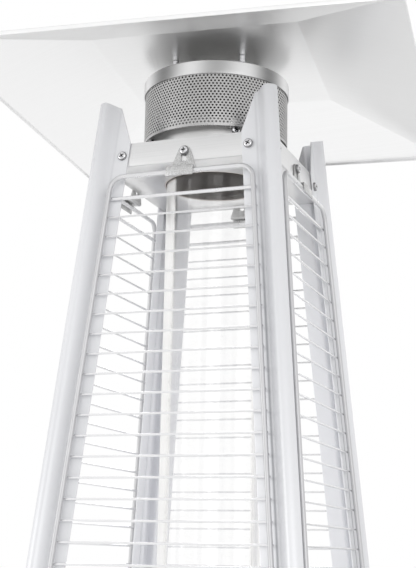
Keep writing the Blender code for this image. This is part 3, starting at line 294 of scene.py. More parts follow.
def open_mesh():
    """Into edit mode with all of the piece in hand selected, by its vertices."""
    bpy.ops.object.mode_set(mode="EDIT")
    bpy.ops.mesh.select_mode(type="VERT")
    bpy.ops.mesh.select_all(action="SELECT")


def pulled(by, extrude=bpy.ops.mesh.extrude_region_move):
    extrude(TRANSFORM_OT_translate={"value": by})


def facing_out():
    """Turn all faces of a form in edit mode outwards."""
    bpy.ops.mesh.select_all(action="SELECT")
    bpy.ops.mesh.normals_make_consistent(inside=False)


def settle():
    """Out of edit mode, with the piece's place in its mesh."""
    bpy.ops.object.mode_set(mode="OBJECT")
    bpy.ops.object.transform_apply(location=True, rotation=True, scale=True)
    return in_hand()


def with_modifier(item, kind, **settings):
    """Add a modifier and apply it."""
    bpy.context.view_layer.objects.active = item
    modifier = item.modifiers.new(kind.lower(), kind)
    for name, value in settings.items():
        setattr(modifier, name, value)
    bpy.ops.object.modifier_apply(modifier=modifier.name)
    return item


def walled(item, thickness=SHEET, offset=-1.0):
    return with_modifier(item, "SOLIDIFY", thickness=thickness, offset=offset, use_even_offset=True)


def shaded(item):
    """Smooth shading except across sharp edges."""
    bpy.ops.object.select_all(action="DESELECT")
    item.select_set(True)
    bpy.context.view_layer.objects.active = item
    bpy.ops.object.shade_smooth_by_angle(angle=BEND_ANGLE)
    return item


def softened(item, width=EDGE_ROUNDING, segments=2):
    """Round the sharp edges and shade the rest smooth."""
    with_modifier(item, "BEVEL", width=width, segments=segments, limit_method="ANGLE", angle_limit=BEND_ANGLE)
    return shaded(item)


def placed(item, place):
    """Move a piece and keep its place in its mesh."""
    item.data.transform(place)
    item.data.update()
    return item


def copied(item, place):
    """A copy with its own mesh."""
    return placed(added(item.name, item.data.copy()), place)


def fitted(item, name, finish, *nodes, body="frame"):
    """Name a finished piece, give it its finish and fix it to its body, for the nodes that it replaces."""
    material, slot = finish
    item.name = name
    item.data.name = name
    item.data.materials.clear()
    item.data.materials.append(material)
    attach(item, body)
    if nodes:
        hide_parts(*nodes)
    return item


def marked(item, *names):
    """New marks, zero at every vertex."""
    for name in names:
        item.data.attributes.new(name, "FLOAT", "POINT")
    return [item.data.attributes[name].data for name in names]


def opaque(colour):
    """A colour as a socket takes it; a single number is a grey."""
    if isinstance(colour, Socket):
        return colour
    return (*colour, 1) if isinstance(colour, tuple) else (colour, colour, colour, 1)


def finished(name, recipe, slot=None, metallic=1.0, plain=0.8):
    """A material whose recipe gives what varies on its shader, with the record's slot that it stands for."""
    material = bpy.data.materials.new(name)
    material.use_nodes = True
    nodes = Nodes(material.node_tree)
    shader = material.node_tree.nodes["Principled BSDF"]
    nodes.join(shader, {"Base Color": opaque(plain), "Metallic": metallic})
    nodes.join(shader, recipe(nodes))
    return material, slot or name


def grain(nodes, cells, detail=3.0):
    """Noise from 0 to 1 with so many cells to the metre, the same or different along each axis."""
    stretch = cells if isinstance(cells, tuple) else (cells, cells, cells)
    scaled = nodes.scaled(nodes.place(), stretch)
    return nodes.add("TexNoise", None, {"Vector": scaled, "Scale": 1.0, "Detail": detail})


def mixed(nodes, share, first, second):
    """A colour between two others."""
    sockets = {"Factor": share, 6: opaque(first), 7: opaque(second)}
    return nodes.add("Mix", {"data_type": "RGBA"}, sockets, output=2)


def ramped(nodes, value, low, high, bottom=0.0, top=1.0):
    """A smooth step from one number to another."""
    sockets = {"Value": value, "From Min": low, "From Max": high, "To Min": bottom, "To Max": top}
    return nodes.add("MapRange", {"interpolation_type": "SMOOTHSTEP"}, sockets)


def skin(nodes, colour, roughness, height, depth):
    """What the shader takes for a colour, a roughness and a relief of a depth."""
    relief = nodes.add("Bump", None, {"Strength": 1.0, "Distance": depth, "Height": height})
    return {"Base Color": colour, "Roughness": roughness, "Normal": relief}


def coated_steel(nodes):
    """Silver powder coat: a fine orange peel with faint clouds; painted shade darkens the crease between
    flange and bulge, and painted light makes the inner skin paler.
    """
    clouds = grain(nodes, (9, 9, 2.5))
    flakes = grain(nodes, 1500, detail=0)
    peel = grain(nodes, 420, detail=1)
    sparkle = ramped(nodes, flakes, *SPARKLE_SPREAD, -SPARKLE_SHARE, SPARKLE_SHARE)
    coat = mixed(nodes, ramped(nodes, clouds, *CLOUD_SPREAD) + sparkle, *COAT_COLOURS)
    # Painted light on the inner skin, and painted shade along the outer crease that weakens near the head.
    coat = mixed(nodes, nodes.mark("inner"), coat, COAT_INSIDE_PAINTED_LIGHT)
    opening = ramped(nodes, nodes.along("Z"), FOLD_OPENS_FROM, FOLD_OPEN_AT, 1, FOLD_OPEN_SHARE)
    colour = mixed(nodes, nodes.mark("fold_shade") * opening, coat, COAT_FOLD_PAINTED_SHADE)
    return skin(nodes, colour, 0.34 + 0.1 * clouds, peel, PEEL_DEPTH)


COATED = finished("coated_steel", coated_steel, metallic=0.3)


def half_width(height):
    """Outer half width of the pyramid at a height."""
    return FLOOR_HALF_WIDTH - TAPER * height


def upslope(height, outward=0.0):
    """Distance up a leaning side of a point at a height, outward of the side's plane."""
    return (height - outward * math.sin(LEAN)) / math.cos(LEAN)


def side_frame(side, across=0.0, up=0.0, outward=0.0, spin=0.0):
    """Frame on a leaning side: X to the right, Y up the slope, Z straight out."""
    foot = spun(side * QUARTER_TURN) @ shift((0, -FLOOR_HALF_WIDTH, 0))
    return foot @ spun(QUARTER_TURN - LEAN, "X") @ shift((across, up, outward)) @ spun(spin)


def post_section():
    """Plan of a post as (across, back, drop of the head), from one flange's edge to the other's."""
    half = []
    for i in range(FLANGE_STEPS):
        share = i / FLANGE_STEPS
        across = -FLANGE_REACH + (FLANGE_REACH - BULGE_START) * share
        half.append((across, -FLANGE_SETBACK, FLANGE_DROP + (SHOULDER_DROP - FLANGE_DROP) * share))
    for i in range(BULGE_STEPS + 1):
        share = i / BULGE_STEPS
        across = -BULGE_START + (BULGE_START - BULGE_RADIUS) * share
        back = -FLANGE_SETBACK * (1 - share * share * (3 - 2 * share))
        half.append((across, back, CORNER_DROP + (SHOULDER_DROP - CORNER_DROP) * (1 - share)))
    corner = []
    for i in range(1, CORNER_STEPS):
        angle = QUARTER_TURN * (1 - i / CORNER_STEPS)
        across = BULGE_RADIUS * (math.cos(angle) - 1)
        corner.append((across, BULGE_RADIUS * (math.sin(angle) - 1), CORNER_DROP))
    return half + corner + [(back, across, drop) for across, back, drop in reversed(half)]


def upright_edge(place, foot, head):
    """A plane cut down to one upright edge, left selected in edit mode."""
    tall = head - foot
    middle = (place[0] + tall / 2, place[1], (foot + head) / 2)
    started(bpy.ops.mesh.primitive_plane_add, size=tall, location=middle, rotation=(QUARTER_TURN, 0, 0))
    open_mesh()
    pick("VERT", lambda vert: vert.co.x > middle[0])
    bpy.ops.mesh.delete(type="VERT")
    bpy.ops.mesh.select_all(action="SELECT")


def mark_posts_skin(post):
    """Mark the inner skin for painted light, and on the outer one the crease between flange and bulge for
    painted shade.
    """
    inner, fold_shade = marked(post, "inner", "fold_shade")
    for vert in post.data.vertices:
        if (vert.normal.y if vert.co.y > vert.co.x else vert.normal.x) < 0:
            inner[vert.index].value = 1
            continue
        across = min(vert.co.x, vert.co.y) - half_width(vert.co.z) + BULGE_START
        fold_shade[vert.index].value = max(0, 1 + across / FOLD_REACH if across < 0 else 1 - across / FOLD_FADE)


def make_posts():
    section = post_section()
    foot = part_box("post_front_left")[0].z
    corner = half_width(foot)
    upright_edge((corner + section[0][0], corner + section[0][1]), foot, POST_TOP)
    for (x, y, _), (next_x, next_y, _) in zip(section, section[1:]):
        pulled((next_x - x, next_y - y, 0))
    for x, y, drop in section:
        at = Vector((corner + x, corner + y, POST_TOP))
        pick("VERT", lambda vert: (vert.co - at).length < MERGE_GAP)
        inward = half_width(POST_TOP - drop) - corner
        bpy.ops.transform.translate(value=(inward, inward, -drop))
    facing_out()
    if bmesh.from_edit_mesh(in_hand().data).faces[:][0].normal.y < 0:
        bpy.ops.mesh.flip_normals()
    post = softened(walled(settle()))
    mark_posts_skin(post)
    for i, name in enumerate(("front_right", "back_right", "back_left", "front_left")):
        fitted(copied(post, spun((i - 1) * QUARTER_TURN)), name + "_post", COATED, "post_" + name)
    bpy.data.objects.remove(post)


make_posts()

# Post head screws
# Bright pan-head screws with a cross recess hold each flange to the tray's rim, one
# through every flange just above the tray's floor.

POST_SCREW_OFFSET = 66 * MM
POST_SCREW_HEIGHT = 2070.6 * MM
SCREW_HEAD_RADIUS = 4.7 * MM
SCREW_HEAD_HEIGHT = 2.8 * MM
SCREW_SHANK_RADIUS = 2.4 * MM
SCREW_SIDES = 32
DOME_STEPS = 6
RECESS_REACH = 3 * MM
RECESS_WIDTH = 1.4 * MM
RECESS_DEPTH = 2 * MM
RECESS_TAPER_SHARES = (0.5, 0.7, 0.7)
RIM_SHARE = 0.84
RIM_SHADE = 0.62
FACING_SHARE = 0.5
PLATING_RELIEF = 0.03 * MM
SIDES = ("front", "right", "back", "left")


def turned(profile, sides, ends="capped"):
    """A circle pulled along (radius, height) points; its ends are capped or joined to each other."""
    radius, height = profile[0]
    started(bpy.ops.mesh.primitive_circle_add, vertices=sides, radius=radius, location=(0, 0, height))
    open_mesh()
    for (wide, high), (next_wide, next_high) in zip(profile, profile[1:]):
        pulled((0, 0, next_high - high))
        grow = next_wide / wide
        bpy.ops.transform.resize(value=(grow, grow, 1), center_override=(0, 0, next_high))
    if ends == "joined":
        bpy.ops.mesh.select_mode(type="EDGE")
        bpy.ops.mesh.select_all(action="DESELECT")
        bpy.ops.mesh.select_non_manifold()
        bpy.ops.mesh.bridge_edge_loops()
    else:
        bpy.ops.mesh.select_all(action="SELECT")
        bpy.ops.mesh.fill_holes(sides=0)
    facing_out()
    return settle()


def cut(item, tool):
    with_modifier(item, "BOOLEAN", operation="DIFFERENCE", object=tool)
    bpy.data.objects.remove(tool)
    return item


def mottled(name, colours, roughness, cells, detail=3, spread=None, relief=0.0, relief_grain=None, mark=None,
            mark_colour=None, mark_roughness=0.0, slot=None, metallic=1.0):
    """A finish that wanders between two colours and roughnesses, with a mark in its own colour."""

    def recipe(nodes):
        clouds = grain(nodes, cells, detail)
        colour = mixed(nodes, ramped(nodes, clouds, *spread) if spread else clouds, *colours)
        rough = roughness[0] + (roughness[1] - roughness[0]) * clouds
        if mark:
            share = nodes.mark(mark)
            colour = mixed(nodes, share, colour, mark_colour)
            rough = rough + mark_roughness * share
        return skin(nodes, colour, rough, grain(nodes, *relief_grain) if relief_grain else clouds, relief)

    return finished(name, recipe, slot, metallic, colours[0])


# Nickel plating, with painted shade: near black in the cross recess and darker round the head's edge.
PLATED = mottled("bright_screws", colours=((0.8, 0.8, 0.81), (0.62, 0.62, 0.64)), roughness=(0.14, 0.3),
                 cells=300, spread=(0.35, 0.7), relief=PLATING_RELIEF, mark="recess", mark_colour=0.05)


def pan_head_screw(shank):
    """Screw whose seat is at height zero."""
    profile = [(SCREW_SHANK_RADIUS, -shank), (SCREW_SHANK_RADIUS, 0), (SCREW_HEAD_RADIUS, 0)]
    for i in range(DOME_STEPS + 1):
        angle = QUARTER_TURN * i / (DOME_STEPS + 1)
        wide = SCREW_HEAD_RADIUS / 2 * (1 + math.cos(angle))
        profile.append((wide, SCREW_HEAD_HEIGHT * (1 + 2 * math.sin(angle)) / 3))
    profile.append((SCREW_HEAD_RADIUS / 3, SCREW_HEAD_HEIGHT))
    screw = turned(profile, SCREW_SIDES)
    slot = (2 * RECESS_REACH, RECESS_WIDTH, 2 * RECESS_DEPTH)
    for angle in (0, QUARTER_TURN):
        tool = started(bpy.ops.mesh.primitive_cube_add, slot, size=1, location=(0, 0, SCREW_HEAD_HEIGHT),
                       rotation=(0, 0, angle))
        open_mesh()
        pick("FACE", lambda face: face.normal.z < -FACING_SHARE)
        bpy.ops.transform.resize(value=RECESS_TAPER_SHARES, center_override=(0, 0, 0))
        bpy.ops.object.mode_set(mode="OBJECT")
        cut(screw, tool)
    # Painted shade: faces in the cross recess are marked fully and faces round the head's edge partly, to be
    # coloured dark.
    recess = screw.data.attributes.new("recess", "FLOAT", "FACE")
    for face in screw.data.polygons:
        deep = 0 < face.center.z < SCREW_HEAD_HEIGHT - RECESS_DEPTH / 5
        away = face.center.xy.length
        rim = RIM_SHADE if away > RIM_SHARE * SCREW_HEAD_RADIUS else 0
        recess.data[face.index].value = 1 if deep and away < RECESS_REACH else rim
    return shaded(screw)


def make_post_screws():
    screw = pan_head_screw(SHEET)
    for side in range(4):
        for sign, end in ((-1, "left"), (1, "right")):
            up = upslope(POST_SCREW_HEIGHT, -FLANGE_SETBACK)
            place = side_frame(side, sign * POST_SCREW_OFFSET, up, -FLANGE_SETBACK, spin=side + sign)
            fitted(copied(screw, place), f"{SIDES[side]}_post_screw_{end}", PLATED)
    bpy.data.objects.remove(screw)


make_post_screws()

# Base tray
# A square tray of sheet steel, upside down, carries the posts. Four cheeks welded under
# its back edge hold the wheels' axles.

BASE_SKIRT = 40 * MM
BASE_SHEET = 1.5 * MM
BASE_BEND = 2.5 * MM
BEND_SEGMENTS = 4
CHEEK_SHEET = 3 * MM
CHEEK_RADIUS = 11 * MM
AXLE_RADIUS = 4 * MM
WHEEL_HUB_WIDTH = 24 * MM
GAP = 0.3 * MM
SLIDE_FIT = 0.5 * MM
BORE_SIDES = 32


def cutter(radius, reach, place, sides=BORE_SIDES):
    """A round cutter along Z of a place."""
    tool = started(bpy.ops.mesh.primitive_cylinder_add, vertices=sides, radius=radius, depth=2 * reach)
    return placed(tool, place)


def joined(items):
    """One object of several."""
    bpy.ops.object.select_all(action="DESELECT")
    for item in items:
        item.select_set(True)
    bpy.context.view_layer.objects.active = items[0]
    bpy.ops.object.join()
    return items[0]


def middle_of(node):
    low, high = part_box(node)
    return (low + high) / 2


def rounded_folds(bend, segments=BEND_SEGMENTS):
    """Round the folds of an open sheet in edit mode."""
    pick("EDGE", lambda edge: len(edge.link_faces) == 2)
    bpy.ops.mesh.bevel(offset=bend, segments=segments, affect="EDGES")


def open_tray(foot, head, foot_half, head_half, bend, mouth):
    """A square tray between two heights; its mouth is the side that stays open, up or down."""
    started(bpy.ops.mesh.primitive_cube_add, (2 * foot_half, 2 * foot_half, head - foot), size=1,
            location=(0, 0, (foot + head) / 2))
    open_mesh()
    pick("FACE", lambda face: face.normal.z > FACING_SHARE)
    shrink = head_half / foot_half
    bpy.ops.transform.resize(value=(shrink, shrink, 1), center_override=(0, 0, head))
    pick("FACE", lambda face: face.normal.z * mouth > FACING_SHARE)
    bpy.ops.mesh.delete(type="FACE")
    rounded_folds(bend)
    return settle()


def axle_cheek(axle, head):
    """Cheek that hangs from the tray, round below and bored for the axle."""
    started(bpy.ops.mesh.primitive_cylinder_add, vertices=BORE_SIDES, radius=CHEEK_RADIUS, depth=CHEEK_SHEET,
            location=axle, rotation=(0, QUARTER_TURN, 0))
    open_mesh()
    pick("VERT", lambda vert: vert.co.z > axle.z)
    bpy.ops.transform.resize(value=(1, 1, 0), center_override=(axle.x, axle.y, head))
    cheek = settle()
    bore = cutter(AXLE_RADIUS + SLIDE_FIT, 2 * CHEEK_SHEET, shift(axle) @ spun(QUARTER_TURN, "Y"))
    return softened(cut(cheek, bore))


def make_base():
    low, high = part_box("base_plate")
    tray = open_tray(high.z - BASE_SKIRT, high.z, high.x, high.x, BASE_BEND, -1)
    parts = [softened(walled(tray, BASE_SHEET))]
    for wheel in ("wheel_left", "wheel_right"):
        for inner in (-1, 1):
            across = inner * (WHEEL_HUB_WIDTH / 2 + SLIDE_FIT + CHEEK_SHEET / 2)
            parts.append(axle_cheek(middle_of(wheel) + Vector((across, 0, 0)), high.z - BASE_SHEET))
    fitted(joined(parts), "pressed_base_tray", COATED, "base_plate")


make_base()

# Feet
# Two stepped pads of black rubber under the front corners, with a dry, dusty bloom.

FOOT_RADIUS = 18 * MM
FOOT_ROUNDING = 1.2 * MM
FOOT_SIDES = 48
RUBBER_PORES = 0.06 * MM
RUBBER = mottled("black_rubber", colours=((0.028, 0.028, 0.029), (0.07, 0.07, 0.068)), roughness=(0.6, 0.85),
                 cells=90, spread=(0.35, 0.75), relief=RUBBER_PORES, relief_grain=(1400, 1), slot="rubber",
                 metallic=0.0)


def make_feet():
    low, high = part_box("foot_left")
    waist = FOOT_RADIUS / 2
    profile = [(waist, high.z), (waist, waist), (FOOT_RADIUS, waist), (FOOT_RADIUS, 0)]
    pad = softened(turned(profile, FOOT_SIDES), FOOT_ROUNDING, 3)
    for side in ("left", "right"):
        spot = middle_of("foot_" + side)
        fitted(copied(pad, shift((spot.x, spot.y, 0))), side + "_rubber_foot", RUBBER, "foot_" + side)
    bpy.data.objects.remove(pad)


make_feet()

# Wheels and axles
# Two moulded wheels with pierced webs turn on headed pins through the cheeks; the heater
# is tipped back on them to be rolled.

WHEEL_RADIUS = 25 * MM
WHEEL_WIDTH = 20 * MM
WHEEL_HUB_RADIUS = 10 * MM
WHEEL_WEB = 8 * MM
WHEEL_RIM = 7 * MM
WHEEL_SIDES = 64
WHEEL_ROUNDING = 0.9 * MM
WEB_HOLES = 7
WEB_HOLE_RADIUS = 2.6 * MM
AXLE_HEAD_RADIUS = 7 * MM
AXLE_HEAD = 4 * MM


def wheel_shape():
    bore = AXLE_RADIUS + SLIDE_FIT
    tyre = WHEEL_WIDTH / 2
    crown = WHEEL_WIDTH / 4
    shoulder = WHEEL_RADIUS - crown / 2
    inside = WHEEL_RADIUS - WHEEL_RIM
    web = WHEEL_WEB / 2
    hub = WHEEL_HUB_WIDTH / 2
    profile = [(shoulder, tyre), (WHEEL_RADIUS, crown), (WHEEL_RADIUS, -crown), (shoulder, -tyre),
               (inside, -tyre), (inside, -web), (WHEEL_HUB_RADIUS, -web), (WHEEL_HUB_RADIUS, -hub),
               (bore, -hub), (bore, hub), (WHEEL_HUB_RADIUS, hub), (WHEEL_HUB_RADIUS, web),
               (inside, web), (inside, tyre)]
    wheel = turned(profile, WHEEL_SIDES, "joined")
    out = shift(((WHEEL_HUB_RADIUS + inside) / 2, 0, 0))
    holes = []
    for i in range(WEB_HOLES):
        holes.append(cutter(WEB_HOLE_RADIUS, WHEEL_WEB, spun(4 * QUARTER_TURN * i / WEB_HOLES) @ out))
    return softened(cut(wheel, joined(holes)), WHEEL_ROUNDING, 3)


def axle_shape():
    outside = WHEEL_HUB_WIDTH / 2 + SLIDE_FIT + CHEEK_SHEET + GAP
    end = outside + AXLE_HEAD
    profile = [(AXLE_HEAD_RADIUS, end), (AXLE_HEAD_RADIUS, outside), (AXLE_RADIUS, outside),
               (AXLE_RADIUS, -outside), (AXLE_HEAD_RADIUS, -outside), (AXLE_HEAD_RADIUS, -end)]
    return softened(turned(profile, BORE_SIDES), AXLE_HEAD / 4, 3)


def make_wheels():
    wheel = wheel_shape()
    axle = axle_shape()
    for side in ("left", "right"):
        node = "wheel_" + side
        place = shift(middle_of(node)) @ spun(QUARTER_TURN, "Y")
        fitted(copied(wheel, place), side + "_moulded_wheel", RUBBER, node, body=node)
        fitted(copied(axle, place), side + "_axle_pin", PLATED, "axle_" + side)
    bpy.data.objects.remove(wheel)
    bpy.data.objects.remove(axle)


make_wheels()

# Cylinder ring
# A low ring of stainless strip on the base keeps the foot of the gas cylinder in place.

RING_SIDES = 128
BRUSHED_GREYS = (0.74, 0.88)
SCRATCH_DEPTH = 0.04 * MM


def brushed_steel(nodes):
    """Stainless sheet brushed level: long level scratches that blur what it mirrors."""
    strokes = grain(nodes, (14, 14, 2600), detail=2)
    clouds = grain(nodes, (18, 18, 40))
    colour = mixed(nodes, strokes, *BRUSHED_GREYS)
    return skin(nodes, colour, 0.22 + 0.1 * clouds + 0.08 * strokes, strokes, SCRATCH_DEPTH)


BRUSHED = finished("brushed_steel", brushed_steel)


def make_cylinder_ring():
    low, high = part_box("cylinder_ring")
    inner = high.x - SHEET
    ring = turned([(high.x, high.z), (high.x, low.z), (inner, low.z), (inner, high.z)], RING_SIDES, "joined")
    fitted(softened(ring), "rolled_cylinder_ring", BRUSHED, "cylinder_ring")


make_cylinder_ring()

# Cabinet panels and deck
# Flat coated sheets are screwed behind the posts' flanges on the left, right and back.
# The deck closes the cabinet above, and the guards' pins stand in its ledges.

FLAT_ANGLE = math.radians(1)


def refined(node, name, finish, body="frame", width=EDGE_ROUNDING):
    """A node's own solid, merged, with its edges rounded."""
    item = added(name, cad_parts[node].data.copy())
    bpy.ops.object.select_all(action="DESELECT")
    item.select_set(True)
    bpy.context.view_layer.objects.active = item
    bpy.ops.mesh.customdata_custom_splitnormals_clear()
    open_mesh()
    bpy.ops.mesh.remove_doubles(threshold=MERGE_GAP)
    bpy.ops.mesh.dissolve_limited(angle_limit=FLAT_ANGLE)
    settle()
    return fitted(softened(item, width), name, finish, node, body=body)


for side in ("left", "right", "back"):
    refined(side + "_panel", side + "_cabinet_panel", COATED)
refined("deck", "cabinet_deck", BRUSHED)

# Door
# A coated sheet door lies over the posts' flanges in front. It turns on two pin hinges
# along its slanted left edge, a magnet holds it shut, and a bow handle opens it.

HINGE_INSIDE = 29.2 * MM
HANDLE_HEIGHT = 420 * MM
HANDLE_INSET = 34 * MM
HANDLE_LENGTH = 120 * MM
HANDLE_RADIUS = 5 * MM
HANDLE_STANDOFF = 28 * MM
HANDLE_SIDES = 32
ROSETTE_RADIUS = 8 * MM
ROSETTE_HEIGHT = 2 * MM
DOOR_FACE = -6.9 * MM
BEND_STEPS = 6
MOULDED_ROUNDING = 1 * MM
PLASTIC_TEXTURE = 0.04 * MM


def bent_bar(points, radius, bend, sides, closed=False):
    """Round bar along corner points: a circle is pulled along each run and spun round each bend."""
    points = [Vector(point) for point in points]
    ahead = (points[1] - points[0]).normalized()
    started(bpy.ops.mesh.primitive_circle_add, vertices=sides, radius=radius, location=points[0],
            rotation=ahead.to_track_quat("Z", "Y").to_euler())
    open_mesh()
    at = points[0]
    for corner, after in zip(points[1:], points[2:]):
        onward = (after - corner).normalized()
        angle = ahead.angle(onward)
        reach = bend * math.tan(angle / 2)
        start = corner - ahead * reach
        pulled(start - at)
        axis = ahead.cross(onward).normalized()
        middle = start + axis.cross(ahead) * bend
        bpy.ops.mesh.spin(steps=BEND_STEPS, angle=-angle, center=middle, axis=axis)
        at = corner + onward * reach
        ahead = onward
    pulled(points[-1] - at)
    bpy.ops.mesh.select_all(action="SELECT")
    bpy.ops.mesh.remove_doubles(threshold=MERGE_GAP)
    if not closed:
        bpy.ops.mesh.fill_holes(sides=0)
    bpy.ops.mesh.normals_make_consistent(inside=False)
    return settle()


def make_handle():
    """Bow of round bar that ends in two turned collars on the door."""
    lean = math.atan(TAPER * math.cos(LEAN))
    across = half_width(HANDLE_HEIGHT) - HINGE_INSIDE - HANDLE_INSET
    face = DOOR_FACE + GAP
    half = HANDLE_LENGTH / 2
    reach = HANDLE_STANDOFF - HANDLE_RADIUS
    bow = [(0, -half, 0), (0, -half, reach), (0, half, reach), (0, half, 0)]
    parts = [bent_bar(bow, HANDLE_RADIUS, 2 * HANDLE_RADIUS, HANDLE_SIDES)]
    for end in (-half, half):
        collar = turned([(ROSETTE_RADIUS, 0), (ROSETTE_RADIUS, ROSETTE_HEIGHT)], HANDLE_SIDES)
        parts.append(placed(softened(collar, ROSETTE_HEIGHT / 3, 3), shift((0, end, 0))))
    place = side_frame(0, across, upslope(HANDLE_HEIGHT, face), face, lean)
    fitted(placed(shaded(joined(parts)), place), "bow_handle", PLATED, "door_handle", body="door")


# Moulded plastic with a fine spark-eroded texture.
BLACK = mottled("black_plastic", colours=((0.022, 0.022, 0.023), (0.045, 0.045, 0.046)),
                roughness=(0.4, 0.55), cells=40, detail=2, relief=PLASTIC_TEXTURE, relief_grain=(2200, 1),
                metallic=0.0)
refined("door", "sheet_door", COATED, "door")
refined("hinge_lower", "lower_pin_hinge", PLATED)
refined("hinge_upper", "upper_pin_hinge", PLATED)
refined("magnet_catch", "magnet_block", BLACK, width=MOULDED_ROUNDING)
make_handle()

# Control panel and gas valve
# The brushed panel above the door carries the valve. Its brass body, a little dulled,
# its spindle and the pipes are behind the panel.

VALVE_ROUNDING = 1 * MM
BRASS_RELIEF = 0.05 * MM
BRASS = mottled("machined_brass", colours=((0.76, 0.58, 0.3), (0.5, 0.36, 0.18)), roughness=(0.2, 0.45),
                cells=70, spread=(0.35, 0.7), relief=BRASS_RELIEF, slot="brass")
refined("control_panel", "brushed_control_panel", BRUSHED)
refined("gas_valve", "brass_gas_valve", BRASS, width=VALVE_ROUNDING)
refined("valve_stem", "valve_spindle", BRASS, "valve_stem")
refined("gas_pipe", "bent_gas_pipe", BRUSHED)

# Control knob
# A fluted black knob slides on the valve's spindle: it is pushed in, then turned.

PANEL_FACE = FLANGE_SETBACK + SHEET + GAP
KNOB_HEIGHT = 722 * MM
KNOB_STAND = 5.1 * MM
KNOB_RADIUS = 24 * MM
KNOB_GRIP_RADIUS = 15 * MM
KNOB_DEPTH = 20 * MM
STEM_RADIUS = 4 * MM
STEM_LENGTH = 21 * MM
KNOB_SIDES = 96
KNOB_FLUTES = 12
FLUTE_SHARE = 0.35
FLUTE_DEPTH_SHARE = 0.9
KNOB_ROUNDING = 1.2 * MM
POINTER_WIDTH = 2 * MM


def in_flute(vert):
    """Whether a vertex of the grip lies in one of its flutes."""
    share = math.atan2(vert.co.y, vert.co.x) / (4 * QUARTER_TURN) * KNOB_FLUTES
    on_grip = abs(math.hypot(vert.co.x, vert.co.y) - KNOB_GRIP_RADIUS) < MERGE_GAP
    return on_grip and share % 1 < FLUTE_SHARE


def make_knob():
    skirt = KNOB_DEPTH / 3
    bore = STEM_RADIUS + SLIDE_FIT / 2
    deep = STEM_LENGTH + GAP
    top = KNOB_DEPTH + deep / 2
    profile = [(KNOB_GRIP_RADIUS, top), (KNOB_GRIP_RADIUS, skirt + 2 * KNOB_ROUNDING), (KNOB_RADIUS, skirt),
               (KNOB_RADIUS, 0), (bore, 0), (bore, deep)]
    knob = turned(profile, KNOB_SIDES)
    open_mesh()
    pick("VERT", in_flute)
    bpy.ops.transform.resize(value=(FLUTE_DEPTH_SHARE, FLUTE_DEPTH_SHARE, 1), center_override=(0, 0, 0))
    softened(settle(), KNOB_ROUNDING / 2, 3)
    bar = (POINTER_WIDTH, KNOB_RADIUS - KNOB_GRIP_RADIUS, POINTER_WIDTH)
    pointer = started(bpy.ops.mesh.primitive_cube_add, bar, size=1,
                      location=(0, (KNOB_GRIP_RADIUS + KNOB_RADIUS) / 2, skirt))
    knob = joined([knob, softened(pointer, POINTER_WIDTH / 4, 3)])
    placed(knob, side_frame(0, 0, upslope(KNOB_HEIGHT), KNOB_STAND - PANEL_FACE))
    fitted(knob, "fluted_knob", BLACK, "control_knob", body="control_knob")


make_knob()

# Spark igniter
# A piezo generator is held in the panel by its collar; pushing the bright button in
# strikes the spark.

IGNITER_OFFSET = 80 * MM
BUTTON_RADIUS = 8 * MM
BUTTON_PROUD = 9 * MM
BUTTON_TRAVEL = 6 * MM
IGNITER_COLLAR_RADIUS = 14 * MM
IGNITER_BODY_RADIUS = 10.5 * MM
IGNITER_DEPTH = 42 * MM
IGNITER_SIDES = 48
IGNITER_ROUNDING = 0.8 * MM


def make_igniter():
    place = side_frame(0, IGNITER_OFFSET, upslope(KNOB_HEIGHT), GAP - PANEL_FACE)
    collar = BUTTON_RADIUS / 2
    bore = BUTTON_RADIUS + SLIDE_FIT / 2
    floor = -IGNITER_DEPTH / 2
    body = turned([(bore, floor), (bore, collar), (IGNITER_COLLAR_RADIUS, collar), (IGNITER_COLLAR_RADIUS, 0),
                   (IGNITER_BODY_RADIUS, 0), (IGNITER_BODY_RADIUS, -IGNITER_DEPTH)], IGNITER_SIDES)
    fitted(placed(softened(body, IGNITER_ROUNDING, 3), place), "igniter_housing", BLACK, "igniter_body")
    back = floor + BUTTON_TRAVEL + SLIDE_FIT
    head = collar + BUTTON_PROUD
    button = turned([(BUTTON_RADIUS, back), (BUTTON_RADIUS, head - IGNITER_ROUNDING),
                     (BUTTON_RADIUS - IGNITER_ROUNDING, head)], IGNITER_SIDES)
    fitted(placed(softened(button), place), "spark_button", PLATED, "igniter_button", body="igniter_button")


make_igniter()

# Burner
# A steel cup with air ports round its rim stands on the deck inside the tube. The brass
# nozzle, pilot, flame sensor and glazed spark electrode rise through its floor.

CUP_RADIUS = 43 * MM
CUP_SHEET = 1.5 * MM
CUP_SIDES = 96
CUP_PORTS = 24
CUP_PORT_RADIUS = 2.2 * MM
CUP_PORT_DROP = 10 * MM
NOZZLE_RADIUS = 9 * MM
FITTING_CIRCLE = 26 * MM
FITTING_DEGREES = (-66, -126, -186)
FITTING_HOLE_RADIUS = 3.3 * MM
HEAT_TINTS = ((0.4, 0.385, 0.36), (0.3, 0.25, 0.19))
TINT_SPREAD = (0.4, 0.7)
BARE_STEEL = (0.55, 0.54, 0.52)
MARK_DEPTH = 0.03 * MM


def heated_steel(nodes):
    """Stainless steel that the flame has tinted straw and brown in patches."""
    patches = grain(nodes, (22, 22, 14))
    strokes = grain(nodes, (30, 30, 1500), detail=2)
    tint = mixed(nodes, ramped(nodes, patches, *TINT_SPREAD), *HEAT_TINTS)
    colour = mixed(nodes, strokes * 0.5, tint, BARE_STEEL)
    return skin(nodes, colour, 0.3 + 0.2 * patches, strokes, MARK_DEPTH)


HEATED = finished("heated_steel", heated_steel)
CERAMIC = mottled("glazed_ceramic", colours=((0.87, 0.865, 0.84), (0.78, 0.75, 0.68)), roughness=(0.18, 0.33),
                  cells=(200, 200, 60), detail=2, slot="white_ceramic", metallic=0.0)


